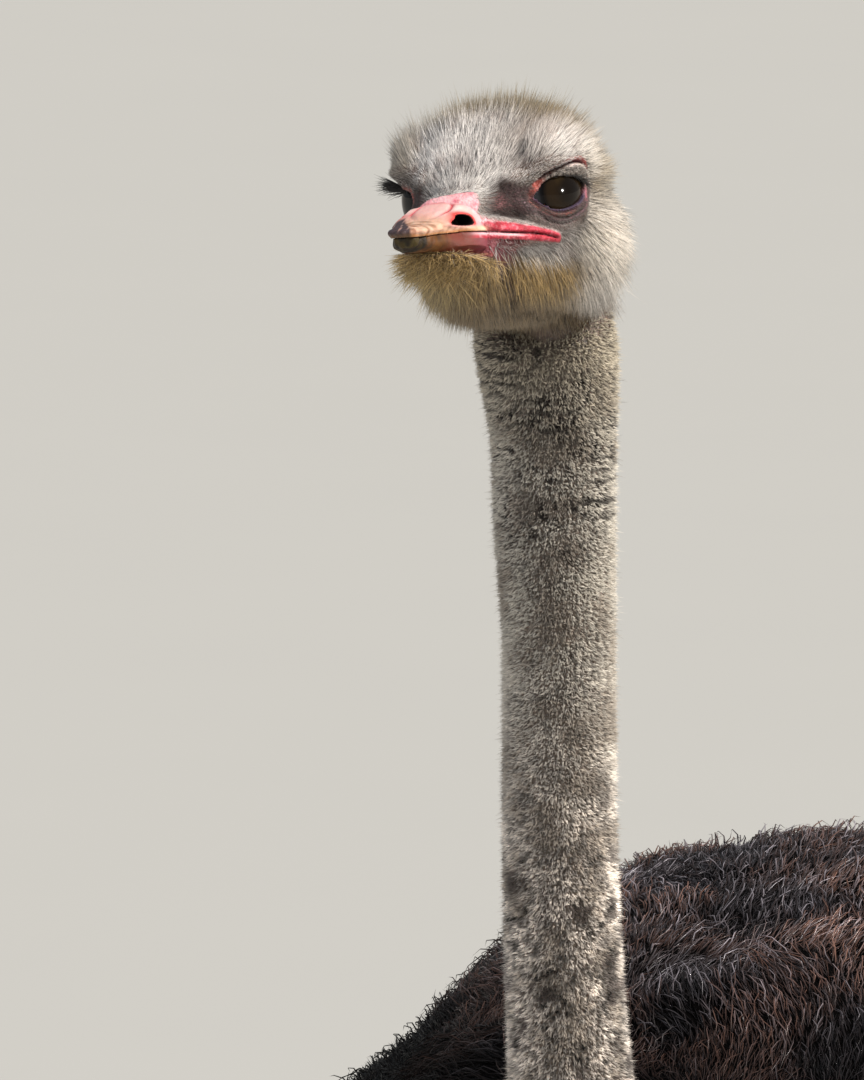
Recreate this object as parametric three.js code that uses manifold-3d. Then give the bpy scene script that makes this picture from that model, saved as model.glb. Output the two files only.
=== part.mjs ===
// A life-size male ostrich, standing at ease, as a set of closed solids in millimetres.
// +Z is up, the bird faces -Y and its left side is +X. The origin is on the floor, under the middle of the box.
// The solids are the bird's outline out to the tips of its plumage. Neighbours are parted by a thin gap.
import * as THREE from "three";
import { mergeVertices } from "three/addons/utils/BufferGeometryUtils.js";
import Module from "manifold-3d";

const wasm = await Module();
wasm.setup();

// Driving dimensions, in millimetres and degrees.
const GAP = 0.4; // between neighbouring solids
const HEAD_AT = [-17, -705, 1748]; // the head's middle, just ahead of the eyes' centres
const HEAD_YAW = -13; // turned a little to the bird's right
const HEAD_PITCH = 7; // bill raised
const HEAD_ROLL = 6.5; // left eye raised
const BILL_REACH = 92; // bill tip, in front of the head's middle
const HIP_SIDE = 118; // each leg's distance from the midline
const THIGH_END = 705; // level where the thigh passes into the shank
const ANKLE = { height: 505, above: 46, below: 34 }; // the joint, and how far its thick part reaches
const FOOT_HEIGHT = 88; // of the joint above the toes
const FOOT_SIDE = 112;
const STRIDE = { left: -48, right: 62 }; // each foot's place along Y, about the middle of the stance
const STANCE_Y = 90; // the middle of the stance, under the bird's weight
const TOE_INNER = { reach: 172, wide: 31, tall: 43, turn: 4 };
const TOE_OUTER = { reach: 112, wide: 22, tall: 31, turn: 30 }; // it has no nail
const NAIL = { from: 160, long: 44, wide: 14, tall: 13 }; // on the inner toe, broad and blunt

// Finishes.
const finish = (color, roughness, metalness = 0) =>
  new THREE.MeshStandardMaterial({ color, roughness, metalness });
const FINISH = {
  down: finish(0xa39a8f, 0.95),
  plume: finish(0x1b1715, 0.85),
  whitePlume: finish(0xd8d2c8, 0.9),
  horn: finish(0xb08a72, 0.45),
  eye: finish(0x1c130d, 0.08),
  skin: finish(0xa08a84, 0.7),
  scale: finish(0x8f8078, 0.6),
  claw: finish(0x3a312b, 0.5),
};

// Values of a smooth curve through rows of numbers, without overshoot between them.
function smoothRows(rows) {
  const places = [0];
  for (let i = 1; i < rows.length; i++) {
    const step = [0, 1, 2].map((k) => rows[i][k] - rows[i - 1][k]);
    places.push(places[i - 1] + Math.hypot(...step));
  }
  const slopes = rows[0].map((_, k) => {
    const steps = rows.slice(1).map((row, i) => (row[k] - rows[i][k]) / (places[i + 1] - places[i]));
    return rows.map((_, i) => {
      if (i === 0) return steps[0];
      if (i === rows.length - 1) return steps[i - 1];
      const [before, after] = [steps[i - 1], steps[i]];
      return before * after <= 0 ? 0 : (2 * before * after) / (before + after);
    });
  });
  return (index, share) => {
    const width = places[index + 1] - places[index];
    const [s2, s3] = [share ** 2, share ** 3];
    return rows[0].map(
      (_, k) =>
        rows[index][k] * (2 * s3 - 3 * s2 + 1) +
        rows[index + 1][k] * (3 * s2 - 2 * s3) +
        width * (slopes[k][index] * (s3 - 2 * s2 + share) + slopes[k][index + 1] * (s3 - s2)),
    );
  };
}

// The geometry with its faces pointing out.
function facingOut(geometry) {
  const index = geometry.index.array;
  const at = (i) => new THREE.Vector3().fromBufferAttribute(geometry.attributes.position, index[i]);
  let volume = 0;
  for (let i = 0; i < index.length; i += 3) volume += at(i).dot(at(i + 1).cross(at(i + 2)));
  if (volume < 0)
    for (let i = 0; i < index.length; i += 3) [index[i + 1], index[i + 2]] = [index[i + 2], index[i + 1]];
  return geometry;
}

// A closed body through cross-sections. Each section is [x, y, z, wide, over, under]: its middle, its half
// width, and how far it reaches on its upper (or rear) and its lower (or front) side. Sections stand square to
// the body's middle line, or all upright across Y. power above 2 squares them off, and grow makes the whole
// body larger by that much all over.
function loft(sections, { around = 20, rings = 3, power = 2, grow = 0, upright = false } = {}) {
  const value = smoothRows(sections);
  const rows = [];
  for (let i = 0; i < sections.length - 1; i++)
    for (let j = 0; j < rings; j++) rows.push(value(i, j / rings));
  rows.push(value(sections.length - 2, 1));
  const middles = rows.map((row) => new THREE.Vector3(...row.slice(0, 3)));
  const points = [];
  const ends = [];
  rows.forEach((row, i) => {
    const ahead = middles[Math.min(i + 1, rows.length - 1)];
    const behind = middles[Math.max(i - 1, 0)];
    const along = ahead.clone().sub(behind).normalize();
    const side = new THREE.Vector3(1, 0, 0);
    const over = new THREE.Vector3(0, 0, 1);
    if (!upright) {
      side.addScaledVector(along, -along.x).normalize();
      over.crossVectors(side, along);
      if (over.y + over.z < 0) over.negate();
    }
    const end = i === 0 ? -1 : i === rows.length - 1 ? 1 : 0;
    const middle = middles[i].clone().addScaledVector(along, end * grow);
    for (let k = 0; k < around; k++) {
      const angle = (2 * Math.PI * k) / around;
      const [c, s] = [Math.cos(angle), Math.sin(angle)];
      const [sc, ss] = [c, s].map((v) => Math.sign(v) * Math.abs(v) ** (2 / power));
      const across = (row[3] + grow) * sc;
      const reach = ((s > 0 ? row[4] : row[5]) + grow) * ss;
      points.push(middle.clone().addScaledVector(side, across).addScaledVector(over, reach));
    }
    if (end !== 0) ends.push(middle);
  });
  points.push(...ends);
  const faces = [];
  const [first, last] = [points.length - 2, points.length - 1];
  for (let k = 0; k < around; k++) {
    const next = (k + 1) % around;
    for (let i = 0; i < rows.length - 1; i++) {
      const [a, b] = [i * around, (i + 1) * around];
      faces.push(a + k, a + next, b + next, a + k, b + next, b + k);
    }
    const top = (rows.length - 1) * around;
    faces.push(first, next, k, last, top + k, top + next);
  }
  const geometry = new THREE.BufferGeometry().setFromPoints(points);
  geometry.setIndex(faces);
  return facingOut(geometry);
}

// A stretched ball, with half sizes [x, y, z] at a point.
const ball = ([x, y, z], [rx, ry, rz], around = 16, grow = 0) =>
  new THREE.SphereGeometry(1, around, Math.round(around * 0.6))
    .scale(rx + grow, ry + grow, rz + grow)
    .translate(x, y, z);

// A geometry as a solid that can be joined and cut, and back.
function solid(geometry) {
  const bare = geometry.clone();
  bare.deleteAttribute("normal");
  bare.deleteAttribute("uv");
  const merged = mergeVertices(bare, 1e-4);
  return new wasm.Manifold(
    new wasm.Mesh({
      numProp: 3,
      vertProperties: new Float32Array(merged.attributes.position.array),
      triVerts: new Uint32Array(merged.index.array),
    }),
  );
}

function geometryOf(made) {
  const mesh = largest(made).getMesh();
  const geometry = new THREE.BufferGeometry();
  geometry.setAttribute("position", new THREE.BufferAttribute(mesh.vertProperties, 3));
  geometry.setIndex(new THREE.BufferAttribute(mesh.triVerts, 1));
  geometry.computeVertexNormals();
  return geometry;
}

const largest = (made) => made.decompose().reduce((a, b) => (a.volume() > b.volume() ? a : b));
const joined = (solids) => solids.reduce((a, b) => a.add(b));
const cut = (made, cutters) => cutters.reduce((a, b) => a.subtract(b), made);

const SIDES = [
  ["left", 1],
  ["right", -1],
];

// The head, in its own frame, where the bill points to -Y.
// Rows are [in front of the middle, half width, widest level, top, bottom].
const fromHead = (rows) =>
  rows.map(([front, wide, level, top, bottom]) => [0, -front, level, wide, top - level, level - bottom]);

const HEAD = fromHead([
  [-89, 8, -12, -4, -22],
  [-84, 27, -12, 12, -40],
  [-66, 42, -8, 31, -60],
  [-42, 46.5, -8, 41, -69],
  [-14, 45.5, -6, 43, -70],
  [8, 41, -8, 36, -63],
  [24, 32, -16, 17, -54],
  [38, 25, -22, -3, -47],
  [52, 21, -27, -16, -41],
  [62, 16, -28, -22, -36],
  [69, 7, -29, -25, -33],
]);

const UPPER_BILL = fromHead([
  [15, 14, -10, 1, -17.5],
  [27, 19, -14, -2, -18.2],
  [44, 19.5, -16, -5.5, -18.6],
  [62, 17, -17, -9, -19.6],
  [77, 13, -18, -12, -21.5],
  [87, 8.5, -19, -14.5, -22.6],
  [BILL_REACH, 3.5, -20, -18, -22.6],
]);

const LOWER_BILL = fromHead([
  [22, 20, -22, -18.6, -27],
  [44, 19, -22.5, -19.3, -28],
  [62, 16.5, -24, -20.6, -29.5],
  [77, 12, -25, -22.4, -31.5],
  [85, 8, -25.5, -23.6, -30.5],
  [88, 4, -25.5, -24, -28],
]);

const bill = (rows, rings, grow) => solid(loft(rows, { around: 14, rings, power: 2.35, grow, upright: true }));
const upperBill = (grow = 0) => bill(UPPER_BILL, 2, grow);
const lowerBill = (grow = 0) => bill(LOWER_BILL, 1, grow);

// Balls on both sides of the head. at and size are for the left one.
const pair = ({ at: [x, y, z], size }, around, grow = 0) =>
  SIDES.map(([, sign]) => solid(ball([sign * x, y, z], size, around, grow)));
const EYE = { at: [22, 7.5, -2], size: [21.6, 24, 22] };
const LID_OPENING = { at: [52, 6.5, -3], size: [20, 20, 8.5] }; // a shallow dish in the side of the head
const BROW = { at: [35, 4, 17], size: [12, 25, 10] };
const CHEEK = { at: [33, 46, -24], size: [15, 27, 25] };

function headSolid(grow = 0) {
  const skull = solid(loft(HEAD, { around: 20, rings: 1, power: 2.15, grow, upright: true }));
  return joined([skull, ...pair(BROW, 10, grow), ...pair(CHEEK, 10, grow)]);
}

const radians = (degrees) => (degrees * Math.PI) / 180;
const headPlace = new THREE.Matrix4()
  .makeRotationFromEuler(
    new THREE.Euler(radians(-HEAD_PITCH), radians(-HEAD_ROLL), radians(HEAD_YAW), "ZXY"),
  )
  .setPosition(...HEAD_AT);

function headMeshes() {
  const bills = [upperBill(GAP), lowerBill(GAP)];
  const eyes = pair(EYE, 14);
  const eyeHoles = pair(EYE, 14, GAP);
  const group = new THREE.Group();
  group.applyMatrix4(headPlace);
  group.add(
    node("head", cut(headSolid(), [...bills, ...eyeHoles, ...pair(LID_OPENING, 12)]), FINISH.down),
    node("bill_upper", cut(upperBill(), [lowerBill(GAP), ...eyeHoles]), FINISH.horn),
    node("bill_lower", cut(lowerBill(), eyeHoles), FINISH.horn),
    ...SIDES.map(([name], i) => node(`eye_${name}`, eyes[i], FINISH.eye)),
  );
  return group;
}

function node(name, made, material) {
  const mesh = new THREE.Mesh(geometryOf(made), material);
  mesh.name = name;
  return mesh;
}

// The neck hangs from the back of the head, comes down almost plumb and sweeps back into the breast.
// Rows are [x, y, z, half width, rear, front].
const NECK = [
  [-5, -648, 1755, 26, 27, 26],
  [-4, -639, 1700, 33, 30, 36],
  [-2, -634, 1666, 34, 30, 34],
  [0, -629, 1628, 29.8, 29, 30],
  [0, -628, 1580, 29, 29, 29],
  [0, -628, 1500, 29, 29.5, 29.5],
  [0, -625, 1420, 29.5, 30, 30],
  [0, -612, 1345, 30.5, 33, 32],
  [0, -584, 1265, 35, 38, 36],
  [0, -534, 1190, 43, 46, 44],
  [0, -464, 1132, 56, 60, 56],
  [0, -385, 1100, 74, 82, 78],
  [0, -290, 1084, 92, 110, 110],
];
const NECK_CUTS = [
  { y: -627, z: 1470, lean: 0 },
  { y: -556, z: 1222, lean: 0.62 },
];

// Rows are [y, half width, widest level, top, bottom].
const fromSide = (rows) =>
  rows.map(([y, wide, level, top, bottom]) => [0, y, level, wide, top - level, level - bottom]);

const TRUNK = fromSide([
  [-432, 40, 1036, 1070, 1000],
  [-415, 100, 1036, 1128, 935],
  [-365, 168, 1040, 1196, 872],
  [-280, 222, 1050, 1250, 824],
  [-160, 258, 1060, 1294, 792],
  [0, 278, 1070, 1322, 780],
  [160, 280, 1078, 1328, 794],
  [300, 258, 1088, 1308, 834],
  [410, 214, 1092, 1266, 892],
  [490, 150, 1098, 1214, 966],
  [540, 80, 1102, 1160, 1034],
  [556, 30, 1102, 1126, 1072],
]);

// The folded wing lies along the flank, its plumes hanging past the thigh. Rows run from shoulder to tip.
const WING = [
  [166, -336, 1108, 14, 34, 42],
  [200, -300, 1106, 42, 84, 92],
  [226, -200, 1092, 58, 128, 158],
  [240, -60, 1072, 64, 150, 205],
  [243, 90, 1052, 64, 150, 222],
  [232, 230, 1022, 62, 136, 218],
  [212, 350, 978, 56, 108, 192],
  [190, 440, 928, 46, 76, 140],
  [176, 500, 884, 28, 44, 80],
  [170, 528, 858, 10, 18, 30],
];
const mirrored = (rows, sign) => rows.map(([x, ...rest]) => [sign * x, ...rest]);
const wing = (sign, grow = 0) =>
  solid(loft(mirrored(WING, sign), { around: 16, rings: 1, power: 2.1, grow }));

// The tail plumes arch over the rump and hang. Rows are [x, y, z, half width, upper, lower].
const TAIL = [
  [0, 430, 1130, 70, 60, 60],
  [0, 500, 1160, 108, 72, 76],
  [0, 575, 1160, 134, 74, 84],
  [0, 640, 1122, 150, 74, 84],
  [0, 688, 1050, 150, 66, 76],
  [0, 712, 960, 132, 52, 60],
  [0, 722, 880, 96, 34, 40],
  [0, 724, 830, 44, 14, 18],
];

// A leg's rows run from the hip to the foot: [x, y, z, half width, rear, front].
function legRows(sign, footY) {
  const ankleY = footY * 0.7 + STANCE_Y + 62;
  const kneeY = STANCE_Y - 78;
  const x = (share) => sign * (HIP_SIDE + (FOOT_SIDE - HIP_SIDE) * share);
  return [
    [x(0), kneeY + 42, 1010, 96, 130, 124],
    [x(0.05), kneeY + 36, 900, 98, 132, 122],
    [x(0.1), kneeY + 42, 810, 92, 122, 112],
    [x(0.25), kneeY * 0.66 + ankleY * 0.34, 720, 74, 96, 88],
    [x(0.4), kneeY * 0.36 + ankleY * 0.64, 635, 53, 63, 60],
    [x(0.55), ankleY - 5, 560, 37, 40, 40],
    [x(0.7), ankleY, ANKLE.height, 36, 44, 38],
    [x(0.75), ankleY - 5, ANKLE.height - 42, 32, 37, 33],
    [x(0.8), ankleY * 0.8 + (STANCE_Y + footY) * 0.2, 400, 23, 27, 26],
    [x(0.9), ankleY * 0.4 + (STANCE_Y + footY) * 0.6, 240, 21.5, 24, 25],
    [x(1), STANCE_Y + footY + 6, 135, 24, 25, 28],
    [x(1), STANCE_Y + footY, FOOT_HEIGHT, 27, 27, 30],
    [x(1), STANCE_Y + footY - 3, 52, 27, 26, 30],
  ];
}

// A slab below (or above) a level, wide enough to cut any part of the bird.
const FAR = 4000;
const slab = (low, high) =>
  solid(new THREE.BoxGeometry(FAR, FAR, high - low).translate(0, 0, (low + high) / 2));
const between = (made, low, high) => made.intersect(slab(low, high));

// A toe, from under the foot joint forward. Its frame has the joint over the origin and the toe along -Y.
function toeRows({ reach, wide, tall }) {
  return [
    [0, 44, 20, wide * 0.5, tall * 0.42, 24],
    [0, 30, 26, wide * 0.92, tall * 0.72, 32],
    [0, 0, 27, wide, tall * 0.86, 34],
    [0, -reach * 0.28, 21, wide * 0.86, tall * 0.66, 28],
    [0, -reach * 0.55, 18, wide * 0.82, tall * 0.5, 24],
    [0, -reach * 0.8, 16, wide * 0.74, tall * 0.42, 22],
    [0, -reach, 13, wide * 0.44, tall * 0.26, 18],
  ];
}
const NAIL_ROWS = [
  [0, -NAIL.from, 15, NAIL.wide, NAIL.tall, 10],
  [0, -NAIL.from - NAIL.long * 0.45, 14, NAIL.wide * 0.82, NAIL.tall * 0.8, 10],
  [0, -NAIL.from - NAIL.long * 0.85, 9, NAIL.wide * 0.52, NAIL.tall * 0.5, 7],
  [0, -NAIL.from - NAIL.long, 6.5, NAIL.wide * 0.3, NAIL.tall * 0.3, 4.5],
];
const turned = (made, degrees, [x, y]) => made.rotate([0, 0, degrees]).translate([x, y, 0]);

function legMeshes(name, sign, trunkRoom) {
  const foot = [sign * FOOT_SIDE, STANCE_Y + STRIDE[name]];
  const rows = legRows(sign, STRIDE[name]);
  const legLoft = (grow = 0) => solid(loft(rows, { around: 16, rings: 1, power: 2.1, grow }));
  const leg = legLoft();
  const toe = (size, grow = 0) =>
    turned(solid(loft(toeRows(size), { around: 12, rings: 1, power: 2.3, grow })), sign * size.turn, foot);
  const nail = (grow = 0) =>
    turned(solid(loft(NAIL_ROWS, { around: 10, rings: 1, grow })), sign * TOE_INNER.turn, foot);
  const onFloor = (made) => between(made, 0, ANKLE.height);
  const innerToe = cut(toe(TOE_INNER), [nail(GAP)]);
  const outerToe = cut(toe(TOE_OUTER), [toe(TOE_INNER, GAP), nail(GAP)]);
  const ankleFoot = ANKLE.height - ANKLE.below;
  const ankleTop = ANKLE.height + ANKLE.above;
  const tarsus = cut(between(leg, 0, ankleFoot - GAP), [toe(TOE_INNER, GAP), toe(TOE_OUTER, GAP)]);
  return [
    node(`thigh_${name}`, cut(between(leg, THIGH_END, FAR), trunkRoom), FINISH.skin),
    node(`shank_${name}`, cut(between(leg, ankleTop, THIGH_END - GAP), trunkRoom), FINISH.skin),
    node(`ankle_${name}`, between(leg, ankleFoot, ankleTop - GAP), FINISH.scale),
    node(`tarsus_${name}`, tarsus, FINISH.scale),
    node(`toe_inner_${name}`, onFloor(innerToe), FINISH.scale),
    node(`toe_outer_${name}`, onFloor(outerToe), FINISH.scale),
    node(`claw_${name}`, onFloor(nail()), FINISH.claw),
  ];
}

// The solid's part on one side of a slanting plane through [0, y, z], whose normal leans from +Z towards -Y.
const above = (made, { y, z, lean }, shift = 0) => {
  const normal = new THREE.Vector3(0, -Math.sin(lean), Math.cos(lean));
  return made.trimByPlane(normal.toArray(), normal.y * y + normal.z * z + shift);
};
const below = (made, { y, z, lean }, shift = 0) => {
  const normal = new THREE.Vector3(0, Math.sin(lean), -Math.cos(lean));
  return made.trimByPlane(normal.toArray(), normal.y * y + normal.z * z + shift);
};

function neckMeshes(trunkRoom) {
  const whole = cut(solid(loft(NECK, { around: 18, rings: 2 })), [
    headSolid(GAP).transform(headPlace.toArray()),
    ...trunkRoom,
  ]);
  const [high, low] = NECK_CUTS;
  return [
    node("neck_upper", above(whole, high, GAP / 2), FINISH.down),
    node("neck_middle", above(below(whole, high, GAP / 2), low, GAP / 2), FINISH.down),
    node("neck_lower", below(whole, low, GAP / 2), FINISH.down),
  ];
}

function trunkSolid(grow = 0) {
  return solid(loft(TRUNK, { around: 24, rings: 1, power: 2.5, grow, upright: true }));
}

const bird = new THREE.Group();
const room = [trunkSolid(GAP), wing(1, GAP), wing(-1, GAP)];
const tail = (grow = 0) => solid(loft(TAIL, { around: 16, rings: 1, power: 2.2, grow }));
bird.add(
  headMeshes(),
  ...neckMeshes(room),
  node("trunk", cut(trunkSolid(), [wing(1, GAP), wing(-1, GAP)]), FINISH.plume),
  ...SIDES.map(([name, sign]) => node(`wing_${name}`, wing(sign), FINISH.plume)),
  node("tail", cut(tail(), room), FINISH.whitePlume),
  ...SIDES.flatMap(([name, sign]) => legMeshes(name, sign, room)),
);

// The frame's origin goes to the floor, under the middle of the box.
const box = new THREE.Box3().setFromObject(bird, true);
const middle = box.getCenter(new THREE.Vector3());
bird.position.set(-middle.x, -middle.y, -box.min.z);
const ostrich = new THREE.Group();
ostrich.name = "ostrich";
ostrich.add(bird);
export default ostrich;
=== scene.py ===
"""A cock ostrich, life size, standing: skin, eyes, bill, nails and a coat of mesh down and plumes.

Everything is laid out in millimetres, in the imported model's frame: the bird looks along -Y, its left side
is at +X and Z is up. The head is worked in axes of its own: x to its left, y to its back, z to its crown,
from a point between the eyes. A mesh is brought to metres as it is made.
"""

import math

import bpy
import numpy as np
import openvdb
from mathutils import Matrix, Vector


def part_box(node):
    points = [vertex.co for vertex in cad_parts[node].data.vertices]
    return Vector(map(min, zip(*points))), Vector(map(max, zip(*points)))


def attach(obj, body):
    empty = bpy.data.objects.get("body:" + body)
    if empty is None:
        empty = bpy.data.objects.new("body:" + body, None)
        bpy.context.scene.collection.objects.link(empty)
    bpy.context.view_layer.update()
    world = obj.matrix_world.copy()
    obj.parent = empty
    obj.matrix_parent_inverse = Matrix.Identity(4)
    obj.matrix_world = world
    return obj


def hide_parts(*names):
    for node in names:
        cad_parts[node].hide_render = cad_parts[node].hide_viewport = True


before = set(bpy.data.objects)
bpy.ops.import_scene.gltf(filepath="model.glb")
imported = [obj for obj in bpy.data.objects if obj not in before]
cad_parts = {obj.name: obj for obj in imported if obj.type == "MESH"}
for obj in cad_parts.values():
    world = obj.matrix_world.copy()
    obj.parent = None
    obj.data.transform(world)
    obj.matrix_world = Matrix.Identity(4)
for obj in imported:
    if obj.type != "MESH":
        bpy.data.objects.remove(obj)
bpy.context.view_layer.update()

MM = 0.001
SIDES = (("left", 1), ("right", -1))

# The head's turn against the body, in degrees, and where its axes cross against the eyes' centres.
HEAD_YAW, HEAD_PITCH, HEAD_ROLL = -13, 7, 6.5
EYE_CENTRE = np.array([22, 7.5, -2])
EYE_SIZE = np.array([21.6, 24, 22])
LID_THICKNESS = 1.6

# Lines on the side of the head, each point (towards the bill, towards the crown).
EYE_OPENING = [
    (14.5, -5.0), (14.2, -2.4), (12.5, 0.9), (9.2, 3.4), (5.1, 4.1), (-0.9, 4.4), (-7.9, 3.6), (-12.5, 1.6),
    (-14, -1.2), (-12, -4.2), (-7, -7.4), (-0.5, -9.7), (5.3, -10.6), (9.4, -9.9), (12.6, -7.7), (14, -6.1),
]
LID_CREASE = [
    (15, 0.9), (13.2, 3.9), (10.4, 6.4), (6.5, 8.7), (1.1, 10.5), (-5.4, 11.4), (-14, 11), (-19, 8.5),
    (-24, 4),
]
LOWER_FOLDS = [
    [(15.6, -4.4), (14.6, -7.2), (12, -9.6), (9, -11.3), (5.2, -12), (0.4, -11.4), (-5, -9.6)],
    [(16.8, -3.4), (15.7, -7.6), (12.9, -11.2), (8, -13.9), (1.5, -14.4), (-3.6, -13.2), (-10, -10.6)],
    [(15.4, -12), (11.4, -15.4), (6, -16.9), (0.2, -16.9), (-5.4, -15.2)],
]
MOUTH = [
    (98, -24), (90, -23.6), (81, -23.1), (71, -22), (62, -21.4), (52.7, -20.6), (39.7, -20.8),
    (27.2, -21.3), (18.8, -21.6), (12.4, -22.4), (8.6, -23.2), (6, -23.8),
]
JAW_EDGE = [
    (98, -29.6), (88, -29.6), (82, -29.2), (72, -28.8), (62, -28.8), (57, -29.3), (47.5, -30.8), (40, -32),
    (32, -33.3), (24.6, -35.9),
]
JAW_FOLD = [(26, -35.2), (18.6, -39.7), (10.2, -44.4), (6, -48)]
NOSTRIL = [
    (65.5, -17.4), (62, -15), (59.5, -13.5), (56, -12.9), (52, -13.7), (50.3, -15.6), (50.6, -17.4),
    (57, -17.8),
]
TOMIUM = [(98, -18), (89, -18), (80, -18.6), (65, -18.9), (47, -18), (36, -17.8)]
# The middle of the bare hollow before each eye and how far it spreads, as (towards the bill, the crown).
LORE_PLACE, LORE_SPREAD = (26, -5.5), (12, 8.5)
# The plate on top of the bill: its middle and its half size, as (across, towards the tip).
PLATE_PLACE, PLATE_SIZE = (0.5, 57), (8.8, 12)
# How much further forward the right eye's opening reaches.
RIGHT_OPENING = 5.5

# The layers of down on the head: how many strands, and how many straight lengths to each.
HEAD_DOWN = (("down_short", 56000, 1), ("down_long", 20000, 2), ("down_fringe", 16000, 2))
# The neck's two layers of down: the width of their strands, and how many strands each layer has; then
# how far across its tufts are.
NECK_DOWN, NECK_STRANDS = (("neck_down_tufts", 1.15), ("neck_down_fine", 0.4)), 46000
TUFT_SIZE, TUFT_SEED = 2.1, 31
PLUME_WHITE, PLUME_CREAM = (232, 226, 214), (196, 180, 154)
# The rows of plumes on a wing: how many, how far above the lowest row, and their length.
WING_ROWS = ((15, 0, 230), (13, 46, 200), (11, 88, 160))
# The tail's rows of plumes: how many, how far across, how far back and how high, their slope and length.
TAIL_ROWS = (
    (11, 84, 520, 1140, 0.32, 235), (11, 84, 560, 1126, 0.1, 200), (10, 82, 566, 1086, -0.1, 190),
    (9, 78, 560, 1040, -0.3, 180), (8, 70, 548, 990, -0.5, 165), (7, 56, 530, 940, -0.7, 140),
)
# The share of a bake map that one strand takes up, and how the maps are wound round the coat: the axis
# they go round (x, y), and the heights where they start and end. The head's is in its own axes.
STRAND_PATCH = 0.003
HEAD_WRAP, NECK_WRAP, BODY_WRAP = ((0, 5), -130, 60), ((0, -600), 1100, 1720), ((0, 60), 700, 1400)

LEG_NODES = ("thigh", "shank", "ankle", "tarsus", "toe_inner", "toe_outer")
SKIN_NODES = ["head", "neck_upper", "neck_middle", "neck_lower", "trunk"]
SKIN_NODES += [f"{part}_{name}" for part in LEG_NODES for name in ("left", "right")]


# ---------------------------------------------------------------- numbers and places


def rgb(*screen):
    """A colour given in screen values, 0 to 255, as the linear one that light is worked out in."""
    share = np.array(screen, float) / 255
    return np.where(share <= 0.04045, share / 12.92, ((share + 0.055) / 1.055) ** 2.4)


def unit(vectors):
    """The same directions, each of length 1."""
    return vectors / np.maximum(np.linalg.norm(vectors, axis=-1, keepdims=True), 1e-9)


def rise(start, end, value):
    """0 at start, 1 at end, smooth between; start may be the larger."""
    t = np.clip((value - start) / (end - start), 0, 1)
    return t * t * (3 - 2 * t)


def hill(value, middle, width):
    """1 at the middle, fading to nothing on both sides."""
    return blotch((value, middle, width))


def blotch(*ways):
    """1 at a place, fading round it; each way is a value, its middle and how far it spreads."""
    total = 0
    for value, middle, width in ways:
        total = total - ((value - middle) / width) ** 2
    return np.exp(total)


def mix(a, b, share):
    """From a to b; a share for each row of colours is spread over its columns."""
    a, b, share = np.asarray(a, float), np.asarray(b, float), np.asarray(share, float)
    if share.ndim and max(a.ndim, b.ndim) >= 1 and max(a.shape[-1:], b.shape[-1:]) == (3,):
        share = share[..., None]
    return a + (b - a) * share


def painted(colour, *coats):
    """The colour under coats of others, each given with the share of it that shows."""
    for paint, share in coats:
        colour = mix(colour, paint, share)
    return colour


def chance(cells, seed):
    """A fixed random value from 0 to 1 for each whole-numbered cell."""
    swing = np.sin(cells @ np.array([127.1, 311.7, 74.7]) + seed * 17.13) * 43758.5453
    return swing - np.floor(swing)


def wander(points, size, seed=0):
    """Smooth random values from -1 to 1 with lumps about size across."""
    place = np.asarray(points) / size
    cell = np.floor(place)
    share = place - cell
    share = share * share * (3 - 2 * share)
    total = 0
    for corner in range(8):
        step = np.array([corner & 1, corner >> 1 & 1, corner >> 2])
        weight = np.prod(np.where(step, share, 1 - share), axis=-1)
        total = total + weight * chance(cell + step, seed)
    return 2 * total - 1


def smooth_line(points, closed=False, steps=5):
    """More points on a smooth curve through a few."""
    p = np.array(points, float)
    if closed:
        p = np.vstack([p[-1:], p, p[:2]])
    else:
        p = np.vstack([2 * p[0] - p[1], p, 2 * p[-1] - p[-2]])
    t = np.linspace(0, 1, steps, endpoint=False)[:, None]
    spans = []
    for a, b, c, d in zip(p, p[1:], p[2:], p[3:]):
        square, cube = 2 * a - 5 * b + 4 * c - d, 3 * b - a - 3 * c + d
        spans.append(0.5 * (2 * b + (c - a) * t + square * t**2 + cube * t**3))
    line = np.vstack(spans)
    return np.vstack([line, line[:1]]) if closed else np.vstack([line, p[-2:-1]])


def line_distance(front, up, points, closed=False):
    """Distance from a line on the side of the head; inside a closed one it is negative."""
    line = smooth_line(points, closed)
    best = np.full(np.broadcast(front, up).shape, 1e9)
    inside = np.zeros(best.shape, bool)
    for (f0, u0), (f1, u1) in zip(line, line[1:]):
        square = max((f1 - f0) ** 2 + (u1 - u0) ** 2, 1e-9)
        along = np.clip(((front - f0) * (f1 - f0) + (up - u0) * (u1 - u0)) / square, 0, 1)
        best = np.minimum(best, (front - f0 - along * (f1 - f0)) ** 2 + (up - u0 - along * (u1 - u0)) ** 2)
        crosses = (u0 > up) != (u1 > up)
        if u1 != u0:
            inside ^= crosses & (front < f0 + (up - u0) * (f1 - f0) / (u1 - u0))
    best = np.sqrt(best)
    return np.where(inside, -best, best) if closed else best


def height_over(front, points):
    """How high a line runs at each place towards the bill."""
    line = smooth_line(points)
    order = np.argsort(line[:, 0])
    return np.interp(front, line[order, 0], line[order, 1])


TURN = np.array(
    Matrix.Rotation(math.radians(HEAD_YAW), 3, "Z")
    @ Matrix.Rotation(math.radians(-HEAD_PITCH), 3, "X")
    @ Matrix.Rotation(math.radians(-HEAD_ROLL), 3, "Y")
)
EYE_CORNERS = [np.array(corner) for side in ("left", "right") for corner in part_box("eye_" + side)]
EYE_MIDDLE = sum(EYE_CORNERS) / len(EYE_CORNERS) / MM
HEAD_ORIGIN = EYE_MIDDLE - TURN @ np.array([0, EYE_CENTRE[1], EYE_CENTRE[2]])


def to_head(points):
    """From the bird's axes to the head's own."""
    return (points - HEAD_ORIGIN) @ TURN


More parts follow.
